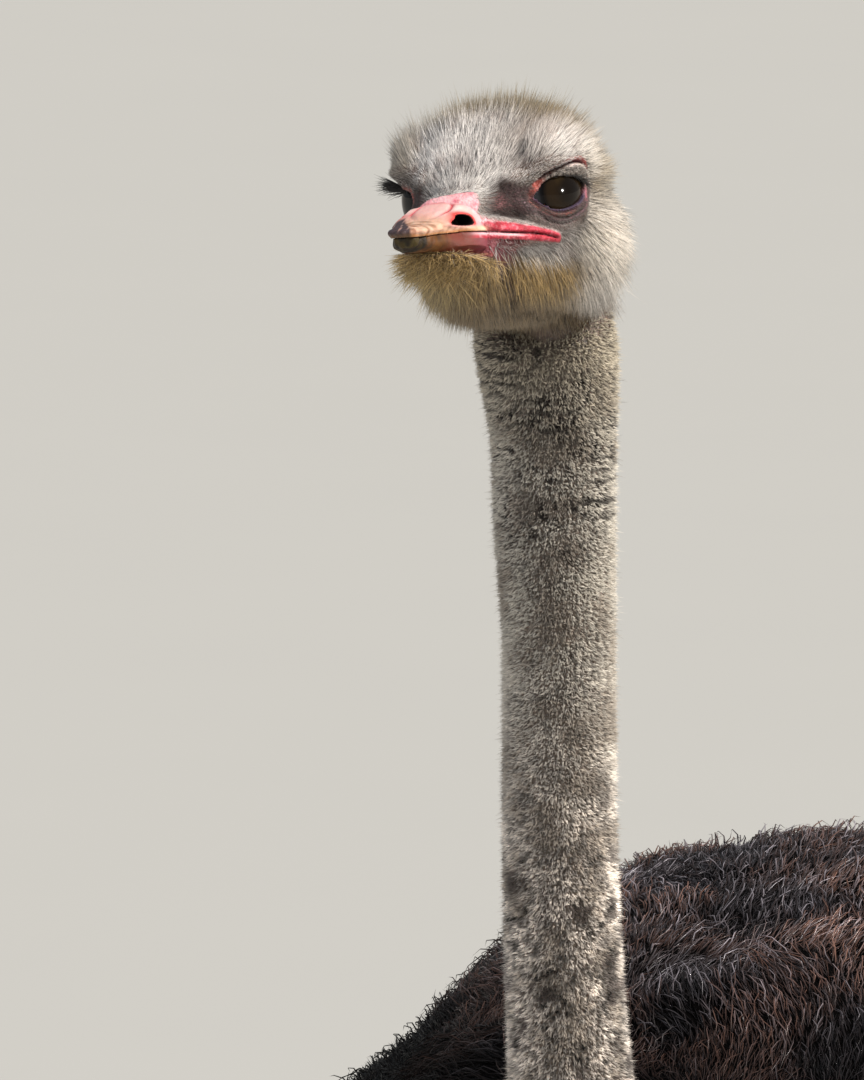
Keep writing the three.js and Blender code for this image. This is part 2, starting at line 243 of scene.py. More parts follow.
def from_head(points):
    """From the head's own axes to the bird's."""
    return points @ TURN.T + HEAD_ORIGIN


def as_is(points):
    """For a shape that is worked in the bird's own axes."""
    return points


# ---------------------------------------------------------------- meshes


class Shape:
    """Points and faces, in millimetres, before they become a piece."""

    def __init__(self, points, faces):
        self.points, self.faces = np.asarray(points, float), np.asarray(faces, int)

    def triangles(self):
        """The faces, with each four-sided one split in two."""
        if self.faces.shape[1] == 3:
            return self.faces
        return np.vstack([self.faces[:, [0, 1, 2]], self.faces[:, [0, 2, 3]]])

    def outward(self):
        """Turns all the faces if they point into the shape."""
        a, b, c = (self.points[self.triangles()[:, k]] for k in range(3))
        if np.einsum("ij,ij->i", a, np.cross(b, c)).sum() < 0:
            self.faces = self.faces[:, ::-1]
        return self

    def normals(self):
        """The surface's direction at each point."""
        tri = self.triangles()
        a, b, c = (self.points[tri[:, k]] for k in range(3))
        faces = np.cross(b - a, c - a)
        total = np.zeros_like(self.points)
        for k in range(3):
            np.add.at(total, tri[:, k], faces)
        return unit(total)

    def scatter(self, count, density, rng):
        """Random places on the surface, spread by their density, and the surface's direction there."""
        tri = self.triangles()
        a, b, c = (self.points[tri[:, k]] for k in range(3))
        weight = np.linalg.norm(np.cross(b - a, c - a), axis=1) * np.maximum(density((a + b + c) / 3), 0)
        ends = np.cumsum(weight)
        picks = (np.arange(count) + rng.random(count)) * ends[-1] / count
        found = np.minimum(np.searchsorted(ends, picks), len(tri) - 1)
        s, t = np.sqrt(rng.random(count))[:, None], rng.random(count)[:, None]
        share = np.stack([1 - s, s * (1 - t), s * t])
        normals = self.normals()
        place = sum(share[k] * self.points[tri[found, k]] for k in range(3))
        facing = unit(sum(share[k] * normals[tri[found, k]] for k in range(3)))
        order = rng.permutation(count)
        return place[order], facing[order]


def piece(name, shape, material, tint=None, bake=None, nodes=()):
    """Makes the object: its mesh, its colours at the points, its bake map, and what it stands for."""
    mesh = bpy.data.meshes.new(name)
    sides = shape.faces.shape[1]
    count = len(shape.faces)
    mesh.vertices.add(len(shape.points))
    mesh.vertices.foreach_set("co", (shape.points * MM).astype(np.float32).ravel())
    mesh.loops.add(count * sides)
    mesh.loops.foreach_set("vertex_index", shape.faces.astype(np.int32).ravel())
    mesh.polygons.add(count)
    mesh.polygons.foreach_set("loop_start", np.arange(count, dtype=np.int32) * sides)
    mesh.polygons.foreach_set("loop_total", np.full(count, sides, np.int32))
    mesh.polygons.foreach_set("use_smooth", np.ones(count, bool))
    mesh.update(calc_edges=True)
    if tint is not None:
        paint(mesh, tint)
    if bake is not None:
        layer = mesh.uv_layers.new(name="OFBake")
        layer.data.foreach_set("uv", bake[shape.faces.ravel()].astype(np.float32).ravel())
    mesh.materials.append(material)
    made = bpy.data.objects.new(name, mesh)
    bpy.context.scene.collection.objects.link(made)
    settle(made, nodes)


def paint(mesh, tint):
    """The colours that the finishes read, one for each point."""
    colours = np.ones((len(tint), 4), np.float32)
    colours[:, :3] = tint
    mesh.attributes.new("Tint", "FLOAT_COLOR", "POINT").data.foreach_set("color", colours.ravel())


def settle(made, nodes=()):
    """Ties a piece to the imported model: its body and the nodes that it stands for."""
    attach(made, "root")
    if nodes:
        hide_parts(*nodes)


def solid_of(names, turned=as_is):
    """The CAD solids of some nodes as one set of triangles, in millimetres."""
    points, faces, start = [], [], 0
    for name in names:
        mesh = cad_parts[name].data
        mesh.calc_loop_triangles()
        co = np.empty(len(mesh.vertices) * 3, np.float32)
        mesh.vertices.foreach_get("co", co)
        tri = np.empty(len(mesh.loop_triangles) * 3, np.int32)
        mesh.loop_triangles.foreach_get("vertices", tri)
        points.append(turned(co.reshape(-1, 3).astype(float) / MM))
        faces.append(tri.reshape(-1, 3) + start)
        start += len(points[-1])
    return np.vstack(points), np.vstack(faces)


# ---------------------------------------------------------------- clay: shapes as signed distances


def soften(field, radius):
    """Rounds off what is smaller than radius, given in lattice steps."""
    reach = int(math.ceil(radius * 2))
    taps = np.exp(-0.5 * (np.arange(-reach, reach + 1) / radius) ** 2)
    taps /= taps.sum()
    for axis in range(3):
        padded = np.pad(field, [(reach, reach) if k == axis else (0, 0) for k in range(3)], mode="edge")
        size = field.shape[axis]
        total = np.zeros_like(field)
        for k, tap in enumerate(taps):
            window = [slice(None)] * 3
            window[axis] = slice(k, k + size)
            total += np.float32(tap) * padded[tuple(window)]
        field = total
    return field


def finer(field):
    """The same field on a lattice of half the step."""
    for axis in range(3):
        field = np.moveaxis(field, axis, 0)
        dense = np.empty((2 * len(field) - 1, *field.shape[1:]), np.float32)
        dense[::2] = field
        dense[1::2] = (field[:-1] + field[1:]) / 2
        field = np.moveaxis(dense, 0, axis)
    return field


def melt(a, b, radius):
    """Two shapes joined with a fillet."""
    share = np.clip(0.5 + 0.5 * (b - a) / radius, 0, 1)
    return b + (a - b) * share - radius * share * (1 - share)


def egg_distance(x, y, z, centre, size):
    """About how far a place is from the surface of an ellipsoid."""
    along = [v - c for v, c in zip((x, y, z), centre)]
    near = np.sqrt(sum((v / s) ** 2 for v, s in zip(along, size)))
    steep = np.sqrt(sum((v / s**2) ** 2 for v, s in zip(along, size)))
    return near * (near - 1) / np.maximum(steep, 1e-6)


class Clay:
    """A block that shapes are cut from: a lattice of places, and how far each lies from some CAD solids."""

    def __init__(self, nodes, low, high, step, turned=as_is, reach=16, bridge=0, rounding=0, halvings=0):
        self.low = np.array(low, float)
        wide = step * 2**halvings
        count = np.ceil((np.array(high) - self.low) / wide).astype(int) + 1
        points, faces = solid_of(nodes, turned)
        place = openvdb.createLinearTransform(voxelSize=wide)
        grid = openvdb.FloatGrid.createLevelSetFromPolygons(
            (points - self.low).astype(np.float32),
            triangles=faces.astype(np.uint32),
            transform=place,
            halfWidth=max(reach / wide, 3),
        )
        if bridge:
            shell, quads = grid.convertToQuads(isovalue=bridge)
            grid = openvdb.FloatGrid.createLevelSetFromPolygons(
                shell, quads=quads, transform=place, halfWidth=max(reach / wide, 3)
            )
        field = np.empty(count, np.float32)
        grid.copyToArray(field, ijk=(0, 0, 0))
        field += bridge
        if rounding:
            field = soften(field, rounding / wide)
        for _ in range(halvings):
            field = finer(field)
        self.step = step
        self.field = field
        ranges = [self.low[k] + step * np.arange(field.shape[k]) for k in range(3)]
        self.x, self.y, self.z = np.meshgrid(*ranges, indexing="ij", sparse=True)

    def shape(self, turned_back=as_is):
        """The surface where the distance is nothing."""
        grid = openvdb.FloatGrid(float(self.field.max()))
        grid.copyFromArray(self.field)
        points, quads = grid.convertToQuads(isovalue=0)
        return Shape(turned_back(points * self.step + self.low), quads).outward()


# ---------------------------------------------------------------- the head's regions


class Face:
    """Where places on the head lie: how far towards the bill and how high, and the marks near them.

    The opening, the crease, the folds, the mouth and the jaw's fold are distances. The lore runs from 0 to
    1, the cere line is over 0 on the bare skin at the bill's root, and the lips are under 1 on the lips.
    """

    def __init__(self, across, back, up):
        self.across, self.side, self.front, self.up = across, np.abs(across), -back, up
        front = self.front
        self.outer = rise(14, 22, self.side)
        left = line_distance(front, up, EYE_OPENING, closed=True)
        right = line_distance(front - RIGHT_OPENING * rise(-6, 10, front), up, EYE_OPENING, closed=True)
        self.opening = np.where(across < 0, right, left)
        self.crease = line_distance(front, up, LID_CREASE)
        self.folds = [line_distance(front, up, fold) for fold in LOWER_FOLDS]
        self.mouth = line_distance(front, up, MOUTH)
        self.over_mouth = up - height_over(front, MOUTH)
        self.over_jaw = up - height_over(front, JAW_EDGE)
        self.jaw_fold = line_distance(front, up, JAW_FOLD)
        self.lore = blotch((front, LORE_PLACE[0], LORE_SPREAD[0]), (up, LORE_PLACE[1], LORE_SPREAD[1]))
        self.cere_line = front - 26 - 15 * rise(9, 17, self.side) + 1.2 * np.sin(up * 0.7)
        self.cere_line = self.cere_line + 4 * rise(-12, -18, up) - 16 * rise(-5, 0, up - 0.12 * across)
        upper = 2.2 + 0.4 * rise(2, 10, front) + 2.1 * rise(10, 36, front)
        lower = 1.9 + 1.3 * rise(4, 16, front)
        thick = np.where(self.over_mouth > 0, self.over_mouth / upper, -self.over_mouth / lower)
        self.lips = np.maximum(thick, self.mouth / (2.6 + 2.0 * rise(4, 16, front)))


def skin_depth(face):
    """How far the skin lies inside the CAD solids: deep under long down, and hardly where it is bare."""
    across, front, up = face.across, face.front, face.up
    depth = 6.5 + 1.6 * rise(20, 38, up) + 3 * rise(-30, -52, up) - 4 * rise(-60, -78, up)
    depth = depth - 4 * rise(-22, 2, face.cere_line) * rise(-26, -20, up)
    depth = depth + (2.2 - depth) * rise(30, 62, front) * rise(1, -3, face.over_jaw)
    far_brow = rise(-14, -26, across) * rise(0, 12, up) * rise(46, 30, front)
    rear = rise(-14, -34, front) * rise(-14, 2, up) * rise(8, 24, across)
    hollow = blotch((across, 27, 9), (up, 21, 8), (front, 10, 13))
    depth = depth + 2.5 * far_brow + 2 * rear - 2.5 * hollow
    around_eye = np.maximum(rise(15, 7, face.opening), face.lore) * face.outer
    cere = rise(-4, 1, face.cere_line) * rise(-5, -1, face.over_jaw)
    bare = np.maximum(around_eye, np.maximum(rise(2.2, 1.3, face.lips), cere))
    return depth + (0.8 - depth) * bare


def face_folds(face):
    """How deep the bare face is cut: the lids' creases and folds, the lore, the jaw's fold and the lips."""
    front, up = face.front, face.up
    over_crease = up - height_over(front, LID_CREASE)
    cut = 2.0 * hill(face.crease, 0, 0.9) + 4.0 * face.lore
    cut = cut - 1.5 * hill(face.crease, 2.4, 1.6) * rise(0, 2, over_crease) * rise(-2, 4, up)
    for fold, deep in zip(face.folds, (0.8, 1.2, 1.1)):
        cut = cut + deep * hill(fold, 0, 0.7)
    between = hill(face.opening, 3.0, 0.9) + hill(face.opening, 5.2, 0.9)
    cut = cut - 0.6 * between * rise(-5, -9, up)
    cut = cut + 1.6 * hill(face.jaw_fold, 0, 1.6)
    lip_fade = rise(46, 41, front)
    cut = cut + lip_fade * 2.4 * hill(face.over_mouth, 0, 0.6) * rise(4, 7, front)
    return cut - lip_fade * 1.5 * rise(1.25, 0.5, face.lips) * rise(2, 7, front)


def model_head():
    """The skin of the head and the top of the neck, with its lids, sockets, folds and lips."""
    clay = Clay(
        ["head", "bill_upper", "bill_lower", "eye_left", "eye_right", "neck_upper"],
        (-64, -76, -122), (64, 108, 52), step=0.8,
        turned=to_head, reach=17, bridge=1, rounding=2.6, halvings=1,
    )
    face = Face(clay.x, clay.y, clay.z)
    side, up = face.side, face.up
    in_bill = rise(40, 46, face.front) * rise(-2.5, 0, face.over_jaw)
    field = clay.field + (skin_depth(face) + 6 * in_bill).astype(np.float32)
    lids = egg_distance(side, clay.y, up, EYE_CENTRE, EYE_SIZE + LID_THICKNESS)
    field = melt(field, lids, 5 + 9 * rise(4, 14, up))
    field = field + (face_folds(face) * face.outer).astype(np.float32)
    # The opening and the socket are cut no nearer to the head's middle than this.
    inner = np.where(clay.x < 0, 13, 22)
    field = np.maximum(field, -np.maximum(face.opening - 0.2, inner - side))
    socket = egg_distance(side, clay.y, up, EYE_CENTRE, EYE_SIZE - 0.6)
    clay.field = np.maximum(field, -np.maximum(socket, inner - 3 - side)).astype(np.float32)
    return clay.shape(from_head)


def thinned(shape, covered, share):
    """Fewer faces where the coat covers the skin; the folds of the face keep all of theirs."""
    mesh = bpy.data.meshes.new("thinning")
    mesh.from_pydata(shape.points.tolist(), [], shape.faces.tolist())
    made = bpy.data.objects.new("thinning", mesh)
    bpy.context.scene.collection.objects.link(made)
    group = made.vertex_groups.new(name="covered")
    levels = 4
    for level in range(1, levels + 1):
        chosen = np.flatnonzero(np.round(covered * levels).astype(int) == level)
        group.add(chosen.tolist(), level / levels, "REPLACE")
    thin = made.modifiers.new("thin", "DECIMATE")
    thin.ratio, thin.vertex_group, thin.vertex_group_factor = share, group.name, 1.0
    bpy.context.view_layer.objects.active = made
    bpy.ops.object.modifier_apply(modifier=thin.name)
    result = read_back(made)
    bpy.data.objects.remove(made)
    return result


def read_back(made):
    """The shape of an object's mesh, in triangles."""
    mesh = made.data
    points = np.empty(len(mesh.vertices) * 3, np.float32)
    mesh.vertices.foreach_get("co", points)
    mesh.calc_loop_triangles()
    faces = np.empty(len(mesh.loop_triangles) * 3, np.int32)
    mesh.loop_triangles.foreach_get("vertices", faces)
    return Shape(points.reshape(-1, 3), faces.reshape(-1, 3))


def covered_share(points):
    """1 where the coat hides the skin, 0 on the bare face."""
    face = Face(*to_head(points).T)
    cere = rise(-10, -4, face.cere_line) * rise(-8, -4, face.over_jaw)
    bare = np.maximum.reduce([rise(16, 9, face.opening), face.lore, rise(12, 7, face.mouth), cere])
    return 1 - np.clip(bare, 0, 1)


def plate_reach(across, front):
    """How far out a place is from the middle of the plate on the bill: 1 on its rim."""
    (middle, forward), (half, long) = PLATE_PLACE, PLATE_SIZE
    return np.sqrt(((across - middle) / half) ** 2 + ((front - forward) / long) ** 2)


def pressed(clay, front, lip):
    """The clay with its upper half pressed down towards the mouth's line, the most at the nail."""
    flatter = 1 + 0.2 * rise(50, 62, front) + 0.7 * rise(61, 76, front)
    level = np.where(clay.z > lip, lip + (clay.z - lip) * flatter, clay.z)
    at = np.clip((level - clay.low[2]) / clay.step, 0, clay.field.shape[2] - 1.001)[0]
    below, row = np.floor(at).astype(int), np.arange(at.shape[0])[:, None]
    return clay.field[:, row, below] * (1 - (at - below)) + clay.field[:, row, below + 1] * (at - below)


def model_bill():
    """The two halves of the bill, parted along the mouth; each ends hidden under the skin at its root."""
    clay = Clay(
        ["bill_upper", "bill_lower", "head", "neck_upper"],
        (-34, -98, -38), (34, -26, 14), step=0.55,
        turned=to_head, reach=9, bridge=1, rounding=2.0, halvings=1,
    )
    side, front, up = np.abs(clay.x), -clay.y, clay.z
    lip = height_over(front, MOUTH)
    field = pressed(clay, front, lip) + 0.25 + 3 * rise(46, 38, front)
    nail = rise(78, 90, front + 0.25 * side)
    ridges = np.sin(clay.x * 1.9 + 0.5 * np.sin(front * 0.3)) * 0.22 * nail
    plate = plate_reach(clay.x, front)
    above = rise(-17, -14, up)
    carved = 0.75 * hill(plate, 1, 0.09) * above - 0.6 * rise(1.0, 0.7, plate) * above
    carved = carved - 0.7 * hill(front - 0.2 * up, 55, 4) * hill(side, 12.5, 2.2)
    carved = carved + 0.6 * hill(front + 0.3 * side, 82, 2.4) * above
    carved = carved + 0.4 * hill(line_distance(front, up, TOMIUM), 0, 0.8) * rise(8, 12, side)
    flutes = 0.14 * np.sin(front * 1.3 + 0.35 * side) * rise(-23, -20, up) * rise(-15, -18, up)
    upper = field + (ridges + carved + flutes * rise(54, 60, front)).astype(np.float32)
    nostril = line_distance(front, up, NOSTRIL, closed=True)
    upper = upper - (0.5 * hill(nostril, 0.9, 1.0) * rise(6, 9, side)).astype(np.float32)
    bore = 5.5 - 3.4 * rise(58, 62, front - 0.8 * (up + 16))
    upper = np.maximum(upper, -np.maximum(np.maximum(nostril, 7 - side), -(field + bore)))
    stripes = 0.1 * np.sin(front * 2.1 + 0.5 * up) * rise(70, 76, front)
    groove = 0.6 * hill(front + 0.3 * side + 0.25 * up, 77.5, 0.8)
    lower = field + (0.55 + 0.6 * ridges + stripes + groove).astype(np.float32)
    # The lower half's blunt tip slants back under the upper one's, the more so at the sides.
    lower = np.maximum(lower, (front + (1.6 + 0.28 * side) * (lip - up) - 98.5) * 0.32)
    halves = []
    for half in (
        np.maximum(upper, lip + 0.12 - up),
        np.maximum(np.maximum(lower, up - lip + 0.12), height_over(front, JAW_EDGE) - 1.0 - up),
    ):
        clay.field = np.maximum(half, 37 - front).astype(np.float32)
        halves.append(clay.shape(from_head))
    return halves


def soft_colours(face, place):
    """The bare pink skin at the root of the bill, whose horn takes on the same colours as it ends."""
    front, over_mouth = face.front, face.over_mouth
    cloud, fine = wander(place, 5, 13), wander(place, 1.5, 15)
    over_edge = face.up - height_over(front, TOMIUM)
    jaw = mix(rgb(124, 60, 68), rgb(84, 38, 40), rise(-0.4, 0.6, cloud))
    red = painted(
        mix(rgb(146, 26, 42), rgb(200, 56, 76), rise(-0.5, 0.6, wander(place, 2.4, 8))),
        (rgb(226, 156, 164), 0.5 * rise(0.25, 0.8, fine) * rise(-10, 26, front)),
        (rgb(236, 196, 202), 0.85 * hill(over_mouth, -1.0, 0.7) * rise(20, 30, front)),
    )
    reach = np.where(over_mouth > 0, rise(47, 39, front + 3 * cloud), rise(58, 46, front + 3 * cloud))
    return painted(
        mix(rgb(234, 176, 180), rgb(208, 112, 124), rise(-0.3, 0.7, cloud)),
        (rgb(246, 228, 226), 0.3 * rise(0.1, 0.7, fine)),
        (rgb(232, 196, 162), rise(0.6, -0.8, over_edge) * rise(38, 44, front)),
        (jaw, rise(0.3, -0.3, over_mouth)),
        (rgb(128, 56, 46), 0.7 * hill(face.over_jaw, 0.8, 0.8)),
        (rgb(84, 62, 48), rise(0.4, -0.8, face.over_jaw)),
        (red, rise(1.1, 0.9, face.lips + 0.12 * fine) * reach),
        (rgb(58, 22, 22), hill(over_mouth, -3.7, 0.45) * rise(44, 34, front) * rise(4, 9, front)),
        (rgb(50, 12, 16), hill(over_mouth, 0, 0.5) * rise(4, 7, front)),
    )


def bill_clouds(place):
    """The slow changes of the horn's colour, and the bars that run across it."""
    return wander(place, 7, 12), wander(place * np.array([0.5, 1, 0.3]), 1.7, 16)


def upper_bill_tint(points):
    """Pink over the nostrils, cream along the cutting edge and dark streaked horn at the tip."""
    place = to_head(points)
    face = Face(*place.T)
    across, side, front, up = face.across, face.side, face.front, face.up
    cloud, bars = bill_clouds(place)
    streak = wander(place * np.array([1, 0.25, 0.6]), 2.6, 11)
    edge = rise(0.8, -0.8, up - height_over(front, TOMIUM))
    cream = mix(rgb(212, 172, 148), rgb(146, 102, 80), rise(-0.4, 0.8, bars))
    nostril = line_distance(front, up, NOSTRIL, closed=True)
    hole = rise(0.4, 0.1, nostril) * rise(6, 9, side)
    stripe = 0.8 * np.sin(0.95 * (0.8 * front - 1.5 * across + up) + 1.5 * cloud) + 0.5 * streak
    tip = painted(
        mix(rgb(176, 142, 132), rgb(66, 52, 56), rise(-1.15, -0.7, stripe)),
        (rgb(112, 84, 56), 0.7 * hill(face.over_mouth, 0.6, 1.2)),
        (rgb(58, 44, 40), rise(89, 94, front)),
    )
    rim = 0.95 * hill(plate_reach(across, front), 1.02, 0.09) * rise(66, 58, front) * rise(-17, -13, up)
    return painted(
        mix(rgb(222, 172, 166), rgb(208, 124, 126), rise(-0.2, 0.8, cloud)),
        (rgb(236, 206, 198), 0.7 * hill(front - 0.2 * up, 55, 5) * hill(side, 12.5, 2.6)),
        (rgb(188, 54, 68), rim),
        (rgb(206, 160, 142), rise(60, 70, front + 3 * cloud)),
        (cream, np.maximum(edge, rise(66, 72, front))),
        (rgb(176, 116, 62), 0.75 * hill(face.over_mouth, 0.6, 0.7) * rise(44, 52, front)),
        (soft_colours(face, place), rise(50, 44, front)),
        (rgb(206, 62, 58), hill(nostril, 0.7, 0.8) * rise(6, 9, side) * rise(-18.4, -17, up)),
        (rgb(150, 36, 38), hole),
        # Black at the deep rear of the nostril: painted shade in the hole.
        (rgb(8, 3, 3), hole * rise(61.5, 59.5, front - 0.5 * (up + 16))),
        (tip, rise(78, 81, front - 1.6 * np.clip(across, -9, 6) + 1.2 * cloud)),
    )


def lower_bill_tint(points):
    """Brown horn with a dark groove before its olive tip, and pink at its root."""
    place = to_head(points)
    face = Face(*place.T)
    front = face.front
    slant = front + 0.3 * face.side
    cloud, bars = bill_clouds(place)
    return painted(
        mix(rgb(98, 60, 26), rgb(66, 38, 16), rise(-0.4, 0.6, bars)),
        (mix(rgb(62, 50, 20), rgb(28, 21, 9), rise(-0.4, 0.5, bars)), rise(80, 83, slant)),
        (rgb(44, 32, 22), hill(slant + 0.25 * face.up, 77.5, 0.8)),
        (mix(rgb(108, 52, 42), rgb(84, 42, 30), rise(-0.2, 0.7, cloud)), rise(70, 60, front)),
        (rgb(150, 76, 58), 0.6 * rise(1.3, 0.2, face.over_jaw) * rise(68, 58, front)),
        (soft_colours(face, place), rise(56, 45, front)),
    )


def model_eye(name, sign):
    """A moist dark eye: a deep brown iris, a wide pupil and the clear bulge over them."""
    bpy.ops.mesh.primitive_uv_sphere_add(segments=96, ring_count=64, radius=1, location=(0, 0, 0))
    made = bpy.context.object
    made.name = name
    co = np.array([vertex.co for vertex in made.data.vertices])
    # In degrees from the axis: where the clear bulge rises, and where the pupil and the iris end and the
    # grey of the front corner starts.
    bulge_edge, pupil_edge, iris_edge, grey_edge = (44, 20), (10, 26), (31, 36), (38, 44)
    axis = unit(np.array([0.962, -0.27, 0.0]))
    across = unit(np.cross(axis, [0, 0, 1.0]))
    upright = np.cross(across, axis)
    ball = co[:, :1] * across + co[:, 1:2] * upright + co[:, 2:] * axis
    from_axis = np.degrees(np.arccos(np.clip(co[:, 2], -1, 1)))
    bulge = 1 + 0.028 * rise(*bulge_edge, from_axis)
    place = ball * (EYE_SIZE - 0.35) * bulge[:, None] + EYE_CENTRE
    place[:, 0] *= sign
    iris = mix(rgb(44, 33, 17), rgb(32, 23, 13), rise(-0.4, 0.4, wander(ball, 0.22, 5)))
    colour = mix(rgb(17, 12, 8), iris, rise(*pupil_edge, from_axis))
    colour = mix(colour, rgb(9, 7, 7), rise(*iris_edge, from_axis))
    if sign > 0:
        front_corner = rise(*grey_edge, from_axis) * rise(-0.1, -0.45, ball[:, 1])
        colour = mix(colour, rgb(46, 46, 50), front_corner)
    made.data.vertices.foreach_set("co", (from_head(place) * MM).astype(np.float32).ravel())
    if sign < 0:
        made.data.flip_normals()
    made.data.polygons.foreach_set("use_smooth", np.ones(len(made.data.polygons), bool))
    paint(made.data, colour)
    made.data.update()
    return made


def lashes(sign, rng):
    """Black lashes along the edge of the upper lid, long over its rear half on the right side."""
    count = 150 if sign > 0 else 260
    line = smooth_line(EYE_OPENING, closed=True, steps=14)
    line = line[(line[:, 1] > 0.5) & (line[:, 0] < (9 if sign > 0 else 14))]
    picks = rng.integers(0, len(line), count)
    front = line[picks, 0] + rng.normal(size=count) * 0.4
    up = line[picks, 1] + 0.4 + 0.8 * rng.random(count)
    size = EYE_SIZE + LID_THICKNESS * 0.8
    inner = 1 - ((-front - EYE_CENTRE[1]) / size[1]) ** 2 - ((up - EYE_CENTRE[2]) / size[2]) ** 2
    side = EYE_CENTRE[0] + size[0] * np.sqrt(np.maximum(inner, 0.02))
    root = np.stack([sign * side, -front, up], 1)
    rear = rise(9, -14, front)
    if sign > 0:
        aim = np.stack([0.5 - 0.3 * rear, 0.55 + 0.5 * rear, 0.2 - 0.5 * rear], 1)
        length = 3 + 5.5 * rear
    else:
        aim = np.stack([-0.95 + 0.2 * rear, -0.15 + 0.5 * rear, np.full(count, 0.18)], 1)
        length = 12 + 5 * rear
    aim = unit(aim + 0.16 * rng.normal(size=aim.shape))
    length = length * (0.55 + 0.6 * rng.random(count))
    fall = np.array([0, 0.1, -0.12]) + 0.12 * rng.normal(size=aim.shape)
    dark = rgb(30, 25, 22)
    coat = Coat(rng)
    bake = around(root, HEAD_WRAP)
    coat.grow(from_head(root), aim @ TURN.T, fall @ TURN.T, length, 0.42, dark, dark, bake, 3)
    return coat


def skin_tint(points):
    """The colours of the skin: the bare face down to its lids and lips, the neck, and then the body."""
    place = to_head(points)
    face = Face(*place.T)
    front, up, opening, outer = face.front, face.up, face.opening, face.outer
    reddish = rise(0.45, 0.95, face.lore) * rise(-0.5, 0.5, wander(place, 4, 5))
    stipple = rise(-0.1, 0.5, wander(place, 0.9, 17))
    over_crease = up - height_over(front, LID_CREASE)
    lid_rim = 0.7 * hill(over_crease, 1.5, 0.8) * rise(-24, -16, front) * rise(16, 12, front)
    lid, low = rise(12, 4, opening) * outer, rise(-5, -8, up) * outer
    inner_corner = hill(opening, 1.5, 1.1) * rise(11, 14, front) * hill(up, -0.5, 4)
    cere = rise(-3, 1, face.cere_line + 2.4 * wander(place, 3, 13)) * rise(-2, -0.6, face.over_jaw)
    jaw = rise(14, 28, front + 3 * wander(place, 4, 14)) * rise(0.5, -0.5, face.over_mouth)
    jaw = jaw * rise(-1.6, -0.4, face.over_jaw)
    lips = rise(1.25, 1.0, face.lips) * outer
    colour = painted(
        mix(rgb(96, 80, 70), rgb(118, 98, 88), rise(-0.6, 0.6, wander(place, 9, 3))),
        (rgb(126, 104, 96), hill(front, 0, 22) * rise(-34, -10, up) * rise(10, 0, up)),
        (mix(rgb(58, 40, 40), rgb(104, 56, 58), reddish), rise(0.12, 0.5, face.lore) * outer),
        (mix(rgb(92, 82, 74), rgb(44, 38, 34), stipple), lid * rise(-2, 2, up)),
        (rgb(72, 52, 54), lid * rise(2, -2, up)),
        (rgb(236, 220, 212), hill(over_crease, -1.5, 0.8) * rise(4, -3, front) * lid),
        # A near-black line along the lid's crease: painted shade in the crease.
        (rgb(48, 8, 16), hill(face.crease, 0, 1.0) * outer),
        (rgb(176, 70, 72), lid_rim * outer),
        (rgb(138, 68, 56), hill(opening, 3.0, 0.8) * low * rise(-6, 0, front)),
        (rgb(96, 68, 74), hill(opening, 5.4, 0.9) * low),
        # Dark lines along the folds under the eye: painted shade in the folds.
        *((rgb(44, 20, 28), 0.9 * hill(fold, 0, 0.6) * outer) for fold in face.folds),
        (rgb(158, 74, 64), np.clip(1.2 * inner_corner, 0, 1) * outer),
        (rgb(176, 100, 112), blotch((front, -15.5, 2), (up, -3.6, 3)) * outer),
        (rgb(62, 54, 78), 0.8 * hill(opening, 0.4, 0.5) * rise(0, -5, up) * outer),
        (rgb(26, 22, 22), hill(opening, 0, 0.8) * rise(-2, 2, up) * outer),
        (soft_colours(face, place), np.maximum.reduce([cere, jaw, lips])),
        # The hollow behind and below the mouth's corner and the jaw's fold: partly the skin's own
        # red-brown, partly painted shadow.
        (rgb(84, 36, 30), 0.9 * blotch((front, 2.5, 3.5), (up, -27.5, 3.0)) * outer),
        (rgb(78, 44, 34), hill(face.jaw_fold, 0, 2.0) * 0.8 * outer),
        # The neck's skin darkens in the partings and creases between its tufts: painted shade.
        (mix(rgb(104, 92, 82), rgb(36, 31, 30), neck_tufts(points)[0]), rise(-58, -72, up)),
    )
    return body_tint(colour, points)


def body_tint(colour, points):
    """Black under the plumage, as painted shade for the gaps between its strands; pinkish grey on the
    thighs and shanks, redder on the shields in front.
    """
    x, y, z = points.T
    cloud, fine = wander(points, 26, 51), wander(points, 6, 52)
    shield = rise(470, 430, z) * rise(-6, -16, y - tarsus_middle(x))
    bare = painted(
        mix(rgb(178, 146, 134), rgb(158, 130, 124), rise(-0.5, 0.6, cloud)),
        (rgb(196, 164, 150), rise(0.1, 0.8, fine) * 0.4),
        (rgb(150, 128, 114), rise(560, 440, z)),
        (mix(rgb(166, 112, 98), rgb(146, 104, 92), rise(-0.4, 0.5, cloud)), 0.8 * shield),
        (rgb(112, 94, 84), rise(60, 16, z) * 0.8),
    )
    return painted(
        colour,
        # Black skin under the plumage and at the neck's foot: painted shade that shows in the gaps between
        # the strands.
        (rgb(10, 8, 8), np.maximum(rise(-560, -500, y), rise(1270, 1200, z))),
        (rgb(150, 138, 118), rise(560, 590, y)),
        (bare, rise(868, 838, z) * rise(400, 300, y)),
    )


def tarsus_middle(x):
    """How far back the middle of the lower leg is, on the side that each place is on."""
    boxes = [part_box("tarsus_" + side) for side in ("left", "right")]
    left, right = ((box[0][1] + box[1][1]) / 2 / MM for box in boxes)
    return np.where(x > 0, left, right)


# ---------------------------------------------------------------- finishes


class Level:
    """A number that varies over a surface; Python's operators on it add the nodes."""

    def __init__(self, finish, socket):
        self.finish, self.socket = finish, socket

    def of(self, operation, *others):
        values = {k: other for k, other in enumerate((self, *others))}
        return self.finish.node("Math", {"operation": operation}, values)

    def __add__(self, other):
        return self.of("ADD", other)

    __radd__ = __add__

    def __sub__(self, other):
        return self.of("SUBTRACT", other)

    def __rsub__(self, other):
        return self.of("MULTIPLY_ADD", -1, other)

    def __mul__(self, other):
        return self.of("MULTIPLY", other)

    __rmul__ = __mul__


